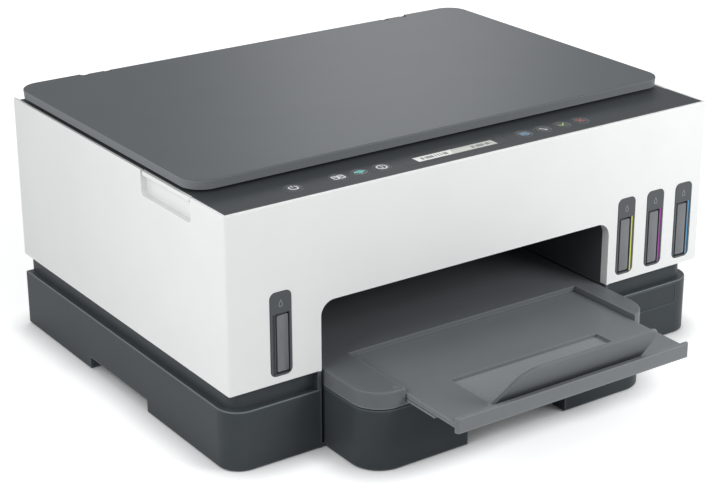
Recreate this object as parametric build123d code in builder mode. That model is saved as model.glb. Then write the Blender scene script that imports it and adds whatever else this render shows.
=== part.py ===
from build123d import *
import os
from math import cos, pi, radians, sin, tan

# An all-in-one inkjet printer with refillable tanks, a lifting scanner unit and a pull-out paper tray.
# Millimetres, +X to the right, front towards -Y, +Z up, origin on the ground under the middle.

# Fits
pass_gap = 0.4  # between pieces that move past each other
shaft_fit = 0.05  # radial clearance of a shaft in its bore
over = 1.0  # how far a cutter runs past the face that it opens

# Sheet that the printer takes, which sets the widths of the bay, the casing and the glass
sheet_width = 210.0
sheet_length = 297.0
bay_side_room = 31.0
casing_side_room = 87.5
bay_width = sheet_width + 2 * bay_side_room

# Upper casing
casing_width = bay_width + 2 * casing_side_room
casing_depth = 329.0
casing_bottom = 62.5
casing_top = 197.5
casing_wall = 2.2
casing_edge = 1.6
casing_rim = 0.6
ring_thickness = 2.0
lip_reach = 116.0  # from the casing's front to the front of the tray's pull-out lip

# Paper stop, which leans out past the lip and so sets the overall depth
stop_foot_width = 138.0
stop_tip_width = 127.0
stop_length = 46.0
stop_corner = 16.0
stop_thickness = 2.2
stop_lean = 52.0
stop_setback = 12.0  # from the lip's front to the stop's hinge
lean = radians(stop_lean)
stop_reach = stop_length * cos(lean) + stop_thickness / 2 * sin(lean) - stop_setback

# Overall box and the casing's place in it
total_depth = casing_depth + lip_reach + stop_reach
back = total_depth / 2
front = back - casing_depth
half = casing_width / 2
inner = half - casing_wall

# Tank windows in the casing's front
bezel_width = 17.6
bezel_bottom = casing_bottom + 6.0
bezel_height = 64.0
bezel_corner = 4.5
bezel_proud = 0.4
bezel_flange = 1.5
bezel_flange_thickness = 1.2
window_width = 11.7
window_bottom = bezel_bottom + 1.4
window_height = 46.4
window_shift = 1.2
window_thickness = 1.6
marker_width = 1.7
marker_shift = 6.2
tank_pitch = 30.6
tank_width = 28.0
tank_side_gap = 1.6
black_tank_gap = 2.0
black_tank_inset = 2.5
window_sink = 0.6
cyan_inset = 18.9
cyan_x = half - cyan_inset
magenta_x = cyan_x - tank_pitch
yellow_x = magenta_x - tank_pitch

# Output bay in the casing's front
bay_top = casing_bottom + 53.5
bay_corner = 11.5
flange_depth = 7.5
support_x = (96.0, 124.0)
support_reach = 9.0
support_height = 10.0
liner_wall = 2.0
liner_depth = 118.0
bay_right = yellow_x - tank_width / 2 - tank_side_gap - liner_wall
bay_left = bay_right - bay_width
bay_middle = (bay_left + bay_right) / 2
black_inset = 33.8
black_x = bay_left - black_inset

# Base casing
foot_height = 0.5
foot_radius = 9.0
foot_inset = 32.0
base_side_inset = 0.25
base_width = casing_width - 2 * base_side_inset
base_inset = 0.75
base_corner = 18.0
base_back_corner = 16.0
base_least_corner = 1.0
base_foot_edge = 1.0
base_ledge_edge = 1.2
base_wall = 3.0
base_ledge = 47.3
neck_inset = 6.0
neck_back_inset = 1.5
base_front = front + base_inset
base_back = back - base_inset
base_floor_top = foot_height + base_wall
neck_half = base_width / 2 - neck_inset
notch_start = 123.5
notch_length = 93.5
notch_height = 10.0
notch_depth = 20.0
partition_wall = 2.5
plaque_gap = (8.0, 2.0)
plaque_left = bay_right + plaque_gap[0]
plaque_right = base_width / 2 - base_corner - plaque_gap[1]
plaque_z = (28.0, 45.0)
plaque_corner = 3.0
plaque_depth = 0.4
partition_back = base_back - base_wall
shelf_back = front + 262.0

# Side grip pockets and the lifting lips above them
pocket_start = 44.7
pocket_length = 71.5
pocket_bottom = casing_top - 19.2
pocket_depth = 5.0
pocket_corner = 4.0
lip_height = 4.0
lip_end_gap = 1.6
lip_end_corner = 2.0
lip_roll = 1.4
pocket_front = front + pocket_start
pocket_back = pocket_front + pocket_length

# Lifting scanner unit
deck_thickness = 2.5
deck_gap = 0.5
unit_hinge_radius = 8.5
unit_hinge_inset = 1.0
unit_hinge_y = back - unit_hinge_inset - unit_hinge_radius
unit_hinge_z = casing_top - unit_hinge_radius
unit_pin_radius = 4.0
unit_pin_length = 13.0
tub_depth = 21.0
tub_wall = 2.5
tub_side_gap = 1.5
tub_setback = 4.0
tub_edge = 4.0
deck_bottom = casing_top - deck_thickness
deck_half = inner - deck_gap
deck_front = front + casing_wall + deck_gap
tub_bottom = deck_bottom - tub_depth
tub_floor_top = tub_bottom + tub_wall
tub_half = half - pocket_depth - casing_wall - tub_side_gap
tub_front = deck_front + tub_setback
tub_back = unit_hinge_y - unit_hinge_radius - deck_gap
glass_end_room = 3.5
glass_side_room = 6.0
glass_length = sheet_length + 2 * glass_end_room
glass_width = sheet_width + 2 * glass_side_room
glass_margin = 6.0
glass_thickness = 2.5
glass_bottom = deck_bottom - glass_thickness
scan_bar_width = 24.0
scan_bar_park = -glass_length / 2 - scan_bar_width / 2
scan_rail_radius = 4.0
scan_rail_gap = 1.0
scan_rail_web = 1.0
scan_rail_z = tub_floor_top + scan_rail_radius + scan_rail_gap
scan_bar_rise = 2.0
scan_bar_drop = 1.0
scan_shoe = 9.0
scan_slit = 4.0
scan_slit_inset = 3.0
scan_slit_depth = 1.0

# Scanner lid
lid_side_inset = 2.5
lid_width = casing_width - 2 * lid_side_inset
lid_start = 45.5
lid_back_gap = 1.0
lid_thickness = 7.0
lid_gap = 2.5
lid_corner = 18.0
lid_taper = 5.0
lid_skin = 2.4
lid_bottom = casing_top + lid_gap
lid_top = lid_bottom + lid_thickness
lid_front = front + lid_start
lid_back = back - lid_back_gap
lid_hinge_y = lid_back - lid_thickness / 2
lid_hinge_z = lid_bottom + lid_thickness / 2
lid_hinge_x = 150.0
glass_middle = (lid_front + lid_hinge_y) / 2
lid_pin_radius = 1.6
lid_knuckle = 14.0
lid_ear = 5.0
lid_ear_radius = 3.1
pad_gap = 2.0
lid_top_edge = 0.8
lid_rim = 8.0
lip_seam = 0.2

# Control strip
button_radius = 6.3
button_proud = 0.3
button_height = 8.3
button_flange = 1.0
button_flange_thickness = 1.3
button_side_gap = 0.3
control_y = front + 20.5
button_names = ["power", "document", "wireless", "info", "ink", "paper", "confirm", "cancel"]
button_places = [-154.6, -116.8, -98.1, -79.0, 52.6, 71.4, 90.4, 108.7]
display_left = -49.9
display_width = 73.0
display_depth = 9.5
display_y = front + 19.2
display_step = 1.0
display_pane = 1.3
insert_x = (-61.7, 35.5)
insert_y = (front + 10.9, front + 30.9)
insert_corner = 1.5
insert_seam = 0.4
insert_seam_depth = 0.5
button_rim = 0.25
button_flange_gap = 0.3
switch_half = 2.5
switch_gap = 1.2
display_sink = 0.1
display_margin = (3.0, 2.0)
display_gap = 0.5
board_drop = 8.4
board_top = deck_bottom - board_drop
board_post = 3.0
board_post_inset = 5.0
board_thickness = 1.6
board_depth = 20.0
board_margin = 12.0

# Paper tray
tray_gap = 3.0
tray_reach = 57.0
tray_length = 256.0  # from the casing's front to the tray's rear edge
tray_wall = 2.5
tray_corner = 24.0
tray_edge = 0.8
tray_top = 48.0
tray_floor = 2.0
tray_floor_top = 14.0
finger_notch_width = 93.0
finger_notch_height = 11.0
finger_notch_depth = 18.0
finger_notch_corner = 7.0
tray_left = bay_left + tray_gap
tray_right = bay_right - tray_gap
tray_front = front - tray_reach
tray_back = front + tray_length
tray_bottom = base_floor_top + pass_gap
tray_floor_bottom = tray_floor_top - tray_floor

# Guides in the tray
sheet_play = 0.5
guide_travel = 50.0
guide_wall = 2.5
guide_drop = 3.0
guide_top = tray_top - guide_drop
guide_slot_end = 1.0
guide_start = 40.0
guide_length = 120.0
pinion_y = front + 100.0
pinion_teeth = 16
tooth_module = 1.25
pinion_radius = tooth_module * pinion_teeth / 2
tooth_pitch = pi * tooth_module
tooth_rise = 0.9
tooth_fall = 1.3
tooth_backlash = 0.6
tooth_angle = radians(20)
tooth_base = 72
tooth_sunk = 0.6
rack_gap = 2.5
rack_bottom = base_floor_top + rack_gap
rack_height = 3.5
rack_width = 5.0
pinion_pin_radius = 3.0
stop_plate_width = 36.0
stop_plate_travel = 80.0
stop_plate_start = 47.5
stop_plate_y = front - stop_plate_start
stop_plate_sole = 2.0
stop_rail_half = 2.0
stop_slot_half = 2.5
stop_plate_foot = 27.0
guide_half = sheet_width / 2 + sheet_play

# Output deck above the tray
deck_seam = 1.0
deck_rise = 13.2
deck_skin = 2.2
deck_length = 115.0
deck_edge = 1.2
deck_pad_inset = 1.0
output_bottom = tray_top + deck_seam
output_top = output_bottom + deck_rise
output_back = front + deck_length

# Pull-out extension and its paper stop
extension_shift = 6.0
extension_side_room = 28.0
extension_width = bay_width - 2 * extension_side_room
extension_thickness = 3.6
extension_rib = 2.5
extension_rib_width = 3.0
extension_groove = 1.2
extension_groove_height = 0.9
extension_tail = 35.0
extension_travel = 55.0
extension_side_gap = 1.2
extension_open = 14.0
extension_end = 2.0
extension_rib_start = 32.5
lip_thickness = 3.5
lip_rise = 11.3
lip_corner = 2.0
extension_middle = bay_middle + extension_shift
extension_left = extension_middle - extension_width / 2
extension_right = extension_middle + extension_width / 2
slot_bottom = output_bottom + deck_skin
plate_bottom = slot_bottom + pass_gap + extension_rib
plate_top = plate_bottom + extension_thickness
slot_top = plate_top + pass_gap
lip_front = front - lip_reach
lip_raise = 1.4
lip_bottom = output_bottom + lip_raise
stop_barrel = 1.6
stop_pin_radius = 1.0
stop_pin_length = 3.0
stop_hinge_y = lip_front + stop_setback
stop_sink = 0.1
stop_hinge_z = plate_top - stop_thickness / 2 - stop_sink
stop_bed_margin = 6.0
stop_bed_half = 5.0
stop_bed_depth = 1.8
stop_recess_end = 1.0

# Print path
roller_z = 75.0
roller_shaft = 3.0
feed_y = front + 243.0
feed_radius = 8.0
output_y = front + 152.0
output_radius = 7.5
sleeve_length = 22.0
sleeve_count = 5
sleeve_end = 13.0
sleeve_pitch = (sheet_width - 2 * sleeve_end) / (sleeve_count - 1)
pulley_radius = 7.0
pulley_width = 5.0
pulley_offset = 3.0
belt_gap = 0.15
belt_thickness = 1.2
belt_inset = 0.5
shaft_end = 3.0
star_radius = 4.0
star_shaft = 1.5
star_points = 12
star_shift = 6.0
star_width = 1.0
star_z = roller_z + output_radius + pass_gap + star_radius
frame_sheet = 2.0
frame_plate_top = roller_z + 6.5
frame_front = front + 138.0
frame_tail = 14.0
post_tail = 6.0
post_rise = 9.0
tie_height = 4.0
platen_top = roller_z + output_radius
platen_gap = 2.0
sheet_margin = 4.0
rib_height = 2.0
rib_width = 2.0
rib_count = 9
rib_inset = 9.0
rib_pitch = (sheet_width + 2 * sheet_margin - 2 * rib_inset) / (rib_count - 1)
guide_radius = 27.0
guide_sheet = 2.5
guide_y = front + 262.0
guide_z = 56.0
guide_cut = 10.0
guide_mouth = 12.0

# Pick arm
pick_y = front + 225.0
pick_z = 54.0
pick_shaft = 4.0
pick_hub = 6.5
pick_reach = 55.0
pick_arm_width = 16.0
pick_radius = 11.0
pick_wheel_width = 10.0
pick_axle = 2.5
pick_side_gap = 0.4
pick_notch = 46.0
pick_wheel_y = pick_y - pick_reach
pick_wheel_z = tray_floor_top + 1.0 + pick_radius

# Print carriage
rod_radius = 5.0
rail_y = front + 246.0
rail_z = 112.0
carriage_width = 78.0
carriage_front = front + 162.0
carriage_back = front + 256.0
carriage_top = 138.0
carriage_wall = 2.5
head_gap = 1.5
head_height = 6.0
head_bottom = platen_top + head_gap
carriage_bottom = head_bottom + head_height
head_width = 28.0
head_start = 10.0
head_length = 56.0
head_shift = 19.0
carriage_edge = 3.0
carriage_roof = 8.0
carriage_mouth_half = 30.0
carriage_mouth_inset = 8.0
rod_block = 6.0
mouth_block = 12.0
fork_half = 8.0
fork_height = 4.0
station_gap = 3.0
station_margin = 6.0
cup_height = 8.0
cup_inset = 2.0
cup_end_inset = 4.0
cup_wall = 2.0
cup_depth = 4.0
cup_gap = 0.6
beam_y = front + 262.0
beam_end_gap = 15.3
beam_half = inner - beam_end_gap
beam_flange = 14.0
leg_width = 12.0
bracket_reach = 10.0
bracket_drop = 12.0
beam_bottom = 94.0
beam_top = carriage_top + 4.0
carriage_end_gap = 2.0
carriage_rest_x = beam_half - frame_sheet - carriage_end_gap - carriage_width / 2
belt_z = 130.0
drive_radius = 6.0
drive_width = 4.0
drive_inset = 14.0
drive_x = beam_half - drive_inset
drive_gap = 1.0
drive_pin = 2.0
motor_radius = 13.0
motor_length = 26.0
motor_gap = 2.0
motor_shaft = 6.0
motor_shaft_gap = 0.5
motor_bore = 8.0
motor_foot = 9.0
feed_shaft_in = 8.0
feed_bore = 10.0

# Ink tanks and caps
tank_front = front + 6.0
tank_back = front + 112.0
tank_top = 138.0
tank_wall = 2.0
tank_bottom = casing_bottom + ring_thickness
tank_foot = 10.0
tank_foot_start = 14.0
tank_foot_end = 10.0
spout_radius = 6.0
spout_bore = 4.5
spout_rise = 5.0
spout_y = front + 44.0
cap_wall = 2.0
cap_skin = 3.0
cap_width = 18.0
cap_pin = 1.5
cap_hinge_y = spout_y + 15.0
cap_hinge_z = tank_top + spout_rise
cap_ear = 2.5
cap_reach = 10.0
cap_ear_half = 3.0
cap_swing_gap = 1.0  # round the spout, so that the skirt clears it as the cap swings
cap_skirt = 2.0

# Rear panel, door and sockets
panel_top = unit_hinge_z - unit_hinge_radius - pass_gap
door_width = 230.0
door_bottom = 72.0
door_top = 156.0
door_gap = 0.6
door_pin = 1.2
door_pin_length = 4.0
socket_z = 25.0
socket_x = 170.0
socket_width = 28.0
socket_height = 20.0
socket_depth = 24.0
socket_recess = 16.0
port_z = 82.0
port_inset = 32.0
port_width = 14.0
port_height = 12.0
port_depth = 16.0
vent_count = 7
vent_pitch = 7.0
vent_length = 52.0
vent_height = 2.4
vent_rise = 20.0
vent_inset = 20.0
door_ear_wall = 2.0
door_ear_depth = 4.0
door_ear_drop = 4.0
door_ear_rise = 8.0
dish_half = 14.0
dish_depth = 0.8
dish_from_top = (16.0, 6.0)
socket_rim = 6.0
pin_shift = 4.3
pin_radius = 1.2
pin_sunk = 5.0
port_mouth_half = (4.3, 4.0)
port_floor = 3.0
tongue_half = 2.6
tongue_span = (0.4, 2.4)

# Boards and power supply
posts_y = (front + 160.0, front + 280.0)
posts_z = (76.0, 140.0)
post_radius = 4.0
board_standoff = 8.0
board_x = board_standoff - inner
board_border = (10.0, 8.0)
chips = ((front + 190.0, 118.0, 22.0), (front + 230.0, 96.0, 16.0), (front + 255.0, 128.0, 12.0))
chip_height = 4.0
supply_gap = 4.0
supply_front = front + 172.0
supply_back_gap = 34.0
supply_edge = 3.0

os.makedirs("parts", exist_ok=True)


def bar(x_span, y_span, z_span, mode=Mode.ADD):
    """A block between two corners of the open part."""
    spans = (x_span, y_span, z_span)
    with Locations(tuple((low + high) / 2 for low, high in spans)):
        Box(*(high - low for low, high in spans), mode=mode)


def rod_x(x_span, y, z, radius, mode=Mode.ADD):
    """A round bar along X."""
    with Locations(Location(((x_span[0] + x_span[1]) / 2, y, z), (0, 90, 0))):
        Cylinder(radius, x_span[1] - x_span[0], mode=mode)


def rod_y(y_span, x, z, radius, mode=Mode.ADD):
    """A round bar along Y."""
    with Locations(Location((x, (y_span[0] + y_span[1]) / 2, z), (90, 0, 0))):
        Cylinder(radius, y_span[1] - y_span[0], mode=mode)


def rod_z(z_span, x, y, radius, mode=Mode.ADD):
    """A round bar along Z."""
    with Locations((x, y, (z_span[0] + z_span[1]) / 2)):
        Cylinder(radius, z_span[1] - z_span[0], mode=mode)


def keep(builder, name):
    """Label a finished piece and write it."""
    builder.part.label = name
    export_step(builder.part, f"parts/{name}.step")


tank_xs = [black_x, yellow_x, magenta_x, cyan_x]
tank_sides = [-1, 1, 1, 1]  # which way each tank's coloured marker lies
tank_names = ["black", "yellow", "magenta", "cyan"]
black_span = (black_tank_gap - inner, bay_left - liner_wall - black_tank_inset)
tank_spans = [black_span] + [(x - tank_width / 2, x + tank_width / 2) for x in tank_xs[1:]]

# Upper casing: front and side walls, the bay's flange, grip pockets, supports and hinge pins
with BuildPart() as upper_casing:
    bar((-half, half), (front, back), (casing_bottom, casing_top))
    fillet(upper_casing.edges().filter_by(Axis.Z), casing_edge)
    levels = upper_casing.edges().group_by(Axis.Z)
    fillet(levels[0] + levels[-1], casing_rim)
    bar((-inner, inner), (front + casing_wall, back), (casing_bottom, casing_top), Mode.SUBTRACT)
    bar((-inner, inner), (front + casing_wall, back - casing_wall),
        (casing_bottom, casing_bottom + ring_thickness))
    bar((base_wall - neck_half, neck_half - base_wall), (front + flange_depth, back),
        (casing_bottom, casing_bottom + ring_thickness), Mode.SUBTRACT)
    with BuildSketch(Plane.XZ.offset(-front)):
        with Locations((bay_middle, bay_top + casing_wall)):
            RectangleRounded(bay_width + 2 * casing_wall, 2 * (bay_top + casing_wall - casing_bottom),
                             bay_corner + casing_wall, align=(Align.CENTER, Align.MAX))
    extrude(amount=-flange_depth)
    bar((bay_left - casing_wall, bay_right + casing_wall), (front, front + flange_depth),
        (casing_bottom - bay_top, casing_bottom), Mode.SUBTRACT)
    with BuildSketch(Plane.XZ.offset(-front)):
        with Locations((bay_middle, bay_top)):
            RectangleRounded(bay_width, 2 * (bay_top - casing_bottom), bay_corner,
                             align=(Align.CENTER, Align.MAX))
    extrude(amount=-flange_depth, mode=Mode.SUBTRACT)
    for x in tank_xs:
        with BuildSketch(Plane.XZ.offset(-front)):
            with Locations((x, bezel_bottom + bezel_height / 2)):
                RectangleRounded(bezel_width + 2 * shaft_fit, bezel_height + 2 * shaft_fit,
                                 bezel_corner + shaft_fit)
        extrude(amount=-casing_wall, mode=Mode.SUBTRACT)
    pocket_wall_top = casing_top - lip_height - pass_gap
    for side in (-1, 1):
        outer = sorted((side * half, side * (half - pocket_depth - casing_wall)))
        hollow = sorted((side * half, side * (half - pocket_depth)))
        bar(outer, (pocket_front - casing_wall, pocket_back + casing_wall),
            (pocket_bottom - casing_wall, pocket_wall_top))
        with BuildSketch(Plane.YZ.offset(hollow[0])):
            with Locations(((pocket_front + pocket_back) / 2, pocket_bottom)):
                RectangleRounded(pocket_length, 2 * (casing_top - pocket_bottom), pocket_corner,
                                 align=(Align.CENTER, Align.MIN))
        extrude(amount=pocket_depth, mode=Mode.SUBTRACT)
        pin = sorted((side * inner, side * (inner - unit_pin_length)))
        rod_x(pin, unit_hinge_y, unit_hinge_z, unit_pin_radius)
        support = sorted((side * support_x[0], side * support_x[1]))
        bar(support, (front + casing_wall, tub_front + support_reach),
            (tub_bottom - pass_gap - support_height, tub_bottom - pass_gap))
    for y in posts_y:
        for z in posts_z:
            rod_x((-inner, board_x), y, z, post_radius)
keep(upper_casing, "upper_casing")

# Base casing: rounded tub with a set-in neck, tray partitions, shelves and lifting notches
base_depth = base_back - base_front


def base_plan(plan, inset, back_inset):
    with Locations((0, base_front + inset)):
        Rectangle(base_width - 2 * inset, base_depth - inset - back_inset, align=(Align.CENTER, Align.MIN))
    corners = plan.vertices().group_by(Axis.Y)
    fillet(corners[0], base_corner - inset)
    fillet(corners[-1], max(base_back_corner - inset, base_least_corner))


with BuildPart() as base_casing:
    with BuildSketch(Plane.XY.offset(foot_height)) as plan:
        base_plan(plan, 0.0, 0.0)
    extrude(amount=base_ledge - foot_height)
    fillet(base_casing.edges().group_by(Axis.Z)[0], base_foot_edge)
    fillet(base_casing.edges().group_by(Axis.Z)[-1], base_ledge_edge)
    with BuildSketch(Plane.XY.offset(base_ledge)) as plan:
        base_plan(plan, neck_inset, neck_back_inset)
    extrude(amount=casing_bottom - base_ledge)
    with BuildSketch(Plane.XY.offset(base_floor_top)) as plan:
        base_plan(plan, base_wall, base_wall)
    extrude(amount=base_ledge - base_wall - base_floor_top, mode=Mode.SUBTRACT)
    with BuildSketch(Plane.XY.offset(base_floor_top)) as plan:
        base_plan(plan, neck_inset + base_wall, neck_back_inset + base_wall)
    extrude(amount=casing_bottom - base_floor_top, mode=Mode.SUBTRACT)
    shelf_front = base_front + neck_inset
    shelf_z = (casing_bottom - base_wall, casing_bottom)
    for x_span in ((base_wall - neck_half, bay_left), (bay_right, neck_half - base_wall)):
        bar(x_span, (shelf_front, shelf_back), shelf_z)
    for x_span in ((bay_left - partition_wall, bay_left), (bay_right, bay_right + partition_wall)):
        bar(x_span, (base_front, partition_back), (foot_height, casing_bottom))
    bar((bay_left, bay_right), (base_front - over, shelf_front + base_wall),
        (base_floor_top, casing_bottom), Mode.SUBTRACT)
    notch = (front + notch_start, front + notch_start + notch_length)
    for side in (-1, 1):
        pan = sorted((side * (base_width / 2 - over), side * (base_width / 2 - notch_depth - base_wall)))
        gap = sorted((side * (base_width / 2 + over), side * (base_width / 2 - notch_depth)))
        bar(pan, (notch[0] - base_wall, notch[1] + base_wall),
            (foot_height, foot_height + notch_height + base_wall))
        bar(gap, notch, (0.0, foot_height + notch_height), Mode.SUBTRACT)
    with BuildSketch(Plane.XZ.offset(-base_front)):
        with Locations(((plaque_left + plaque_right) / 2, sum(plaque_z) / 2)):
            RectangleRounded(plaque_right - plaque_left, plaque_z[1] - plaque_z[0], plaque_corner)
    extrude(amount=-plaque_depth, mode=Mode.SUBTRACT)
    rod_x((bay_left - partition_wall, bay_right + partition_wall), pick_y, pick_z,
          pick_shaft + shaft_fit, Mode.SUBTRACT)
    bar((socket_x - socket_width / 2, socket_x + socket_width / 2), (base_back - base_wall, base_back),
        (socket_z - socket_height / 2, socket_z + socket_height / 2), Mode.SUBTRACT)
keep(base_casing, "base_casing")

# Rubber feet under the base's corners
with BuildPart() as rubber_feet:
    for x in (foot_inset - base_width / 2, base_width / 2 - foot_inset):
        for y in (base_front + foot_inset, base_back - foot_inset):
            rod_z((0.0, foot_height), x, y, foot_radius)
keep(rubber_feet, "rubber_feet")

# Rear panel with the access opening, vents and the data port's cut-out
door_left = bay_middle - door_width / 2
door_right = bay_middle + door_width / 2
door_y = back - casing_wall / 2
port_x = port_inset - inner
with BuildPart() as rear_panel:
    bar((-inner, inner), (back - casing_wall, back), (casing_bottom, panel_top))
    bar((door_left - door_gap, door_right + door_gap), (back - casing_wall, back),
        (door_bottom - door_gap, door_top + door_gap), Mode.SUBTRACT)
    bar((port_x - port_width / 2, port_x + port_width / 2), (back - casing_wall, back),
        (port_z - port_height / 2, port_z + port_height / 2), Mode.SUBTRACT)
    for index in range(vent_count):
        z = door_bottom + vent_rise + index * vent_pitch
        bar((inner - vent_inset - vent_length, inner - vent_inset), (back - casing_wall, back),
            (z, z + vent_height), Mode.SUBTRACT)
    ear = door_pin_length + door_gap
    for x_span in ((door_left - ear - door_ear_wall, door_left - door_gap),
                   (door_right + door_gap, door_right + ear + door_ear_wall)):
        bar(x_span, (back - casing_wall - door_ear_depth, back - casing_wall / 2),
            (door_bottom - door_ear_drop, door_bottom + door_ear_rise))
    rod_x((door_left - ear, door_right + ear), door_y - casing_wall, door_bottom + casing_wall,
          door_pin + shaft_fit, Mode.SUBTRACT)
keep(rear_panel, "rear_panel")

# Rear access door, swinging out on two pins at its foot
with BuildPart() as rear_door:
    bar((door_left, door_right), (back - casing_wall, back), (door_bottom + 2 * casing_wall, door_top))
    rod_x((door_left, door_right), door_y - casing_wall, door_bottom + casing_wall, casing_wall)
    bar((door_left, door_right), (door_y - casing_wall, door_y),
        (door_bottom + casing_wall, door_bottom + 4 * casing_wall))
    rod_x((door_left - door_pin_length, door_right + door_pin_length), door_y - casing_wall,
          door_bottom + casing_wall, door_pin)
    for x in (bay_middle - door_width / 4, bay_middle + door_width / 4):
        bar((x - dish_half, x + dish_half), (back - dish_depth, back),
            (door_top - dish_from_top[0], door_top - dish_from_top[1]), Mode.SUBTRACT)
keep(rear_door, "rear_door")

# Dark liner round the output bay
with BuildPart() as bay_liner:
    with BuildSketch(Plane.XZ.offset(-front - flange_depth)):
        with Locations((bay_middle, bay_top + liner_wall)):
            RectangleRounded(bay_width + 2 * liner_wall, 2 * (bay_top + liner_wall - casing_bottom),
                             bay_corner + liner_wall, align=(Align.CENTER, Align.MAX))
        with Locations((bay_middle, bay_top)):
            RectangleRounded(bay_width, 2 * (bay_top - casing_bottom), bay_corner,
                             align=(Align.CENTER, Align.MAX), mode=Mode.SUBTRACT)
    extrude(amount=-(liner_depth - flange_depth))
    bar((bay_left - liner_wall, bay_right + liner_wall), (front, front + liner_depth),
        (-bay_top, casing_bottom), Mode.SUBTRACT)
keep(bay_liner, "bay_liner")

# Tank window bezels, panes and coloured markers
with BuildPart() as ink_bezels:
    for x, side in zip(tank_xs, tank_sides):
        middle_z = bezel_bottom + bezel_height / 2
        with BuildSketch(Plane.XZ.offset(-front + bezel_proud)):
            with Locations((x, middle_z)):
                RectangleRounded(bezel_width, bezel_height, bezel_corner)
        extrude(amount=-(bezel_proud + casing_wall))
        bar((x - bezel_width / 2 - bezel_flange, x + bezel_width / 2 + bezel_flange),
            (front + casing_wall, front + casing_wall + bezel_flange_thickness),
            (bezel_bottom - bezel_flange, bezel_bottom + bezel_height + bezel_flange))
        pane_x = x - side * window_shift
        bar((pane_x - window_width / 2, pane_x + window_width / 2),
            (front - bezel_proud, front + casing_wall + bezel_flange_thickness),
            (window_bottom, window_bottom + window_height), Mode.SUBTRACT)
        marker_x = x + side * marker_shift
        bar((marker_x - marker_width / 2, marker_x + marker_width / 2),
            (front - bezel_proud, front + casing_wall),
            (window_bottom, window_bottom + window_height), Mode.SUBTRACT)
keep(ink_bezels, "ink_bezels")

with BuildPart() as ink_windows:
    for x, side in zip(tank_xs, tank_sides):
        pane_x = x - side * window_shift
        bar((pane_x - window_width / 2, pane_x + window_width / 2),
            (front + window_sink, front + window_sink + window_thickness),
            (window_bottom, window_bottom + window_height))
keep(ink_windows, "ink_windows")

with BuildPart() as ink_markers:
    for x, side in zip(tank_xs, tank_sides):
        marker_x = x + side * marker_shift
        bar((marker_x - marker_width / 2, marker_x + marker_width / 2),
            (front, front + casing_wall), (window_bottom, window_bottom + window_height))
keep(ink_markers, "ink_markers")

# Ink tanks with filler spouts and the ears that carry their caps
with BuildPart() as ink_tanks:
    for x, span in zip(tank_xs, tank_spans):
        bar(span, (tank_front, tank_back), (tank_bottom, tank_top))
        bar((x - tank_foot / 2, x + tank_foot / 2), (tank_front + tank_foot_start, tank_back - tank_foot_end),
            (casing_bottom, tank_bottom))
        rod_z((tank_top, tank_top + spout_rise), x, spout_y, spout_radius)
        for side in (-1, 1):
            ear_in = cap_width / 2 + pass_gap
            ear = sorted((x + side * ear_in, x + side * (ear_in + cap_ear)))
            bar(ear, (cap_hinge_y - cap_ear_half, cap_hinge_y + cap_ear_half),
                (tank_top, cap_hinge_z + cap_ear_half))
            rod_x(ear, cap_hinge_y, cap_hinge_z, cap_pin + shaft_fit, Mode.SUBTRACT)
        bar((span[0] + tank_wall, span[1] - tank_wall), (tank_front + tank_wall, tank_back - tank_wall),
            (tank_bottom + tank_wall, tank_top - tank_wall), Mode.SUBTRACT)
        rod_z((tank_top - tank_wall, tank_top + spout_rise), x, spout_y, spout_bore, Mode.SUBTRACT)
keep(ink_tanks, "ink_tanks")

# Filler caps, each on a pin at its rear
for name, x in zip(tank_names, tank_xs):
    with BuildPart() as tank_cap:
        cap_bottom = cap_hinge_z + pass_gap
        bar((x - cap_width / 2, x + cap_width / 2), (spout_y - cap_reach, cap_hinge_y),
            (cap_bottom, cap_bottom + cap_skin))
        rod_x((x - cap_width / 2, x + cap_width / 2), cap_hinge_y, cap_hinge_z, cap_skin)
        rod_x((x - cap_width / 2 - pass_gap - cap_ear, x + cap_width / 2 + pass_gap + cap_ear),
              cap_hinge_y, cap_hinge_z, cap_pin)
        skirt = (cap_hinge_z - cap_skirt, cap_bottom)
        rod_z(skirt, x, spout_y, spout_radius + cap_swing_gap + cap_wall)
        rod_z(skirt, x, spout_y, spout_radius + cap_swing_gap, Mode.SUBTRACT)
    keep(tank_cap, f"{name}_tank_cap")

# Print frame: pan over the tray, side plates for the rollers and taller front posts
plate_xs = (bay_left - partition_wall, bay_right + partition_wall - frame_sheet)
frame_back = feed_y + frame_tail
pan_top = casing_bottom + frame_sheet
with BuildPart() as print_frame:
    span = (plate_xs[0], plate_xs[1] + frame_sheet)
    post_top = star_z + post_rise
    bar(span, (frame_front, frame_back), (casing_bottom, pan_top))
    for x in plate_xs:
        bar((x, x + frame_sheet), (frame_front, frame_back), (pan_top, frame_plate_top))
        bar((x, x + frame_sheet), (frame_front, output_y + post_tail), (pan_top, post_top))
    bar(span, (frame_front, frame_front + frame_sheet), (post_top - tie_height, post_top))
    rod_x(span, feed_y, roller_z, roller_shaft + shaft_fit, Mode.SUBTRACT)
    rod_x(span, output_y, roller_z, roller_shaft + shaft_fit, Mode.SUBTRACT)
    rod_x(span, output_y, star_z, star_shaft + shaft_fit, Mode.SUBTRACT)
keep(print_frame, "print_frame")

# Ribbed platen under the print line
platen_span = (output_y + output_radius + platen_gap, feed_y - feed_radius - platen_gap)
sheet_half = sheet_width / 2 + sheet_margin
sheet_span = (bay_middle - sheet_half, bay_middle + sheet_half)
with BuildPart() as platen:
    bar(sheet_span, platen_span, (pan_top, platen_top - rib_height))
    for index in range(rib_count):
        x = sheet_span[0] + rib_inset + index * rib_pitch
        bar((x, x + rib_width), platen_span, (platen_top - rib_height, platen_top))
keep(platen, "platen")

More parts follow.
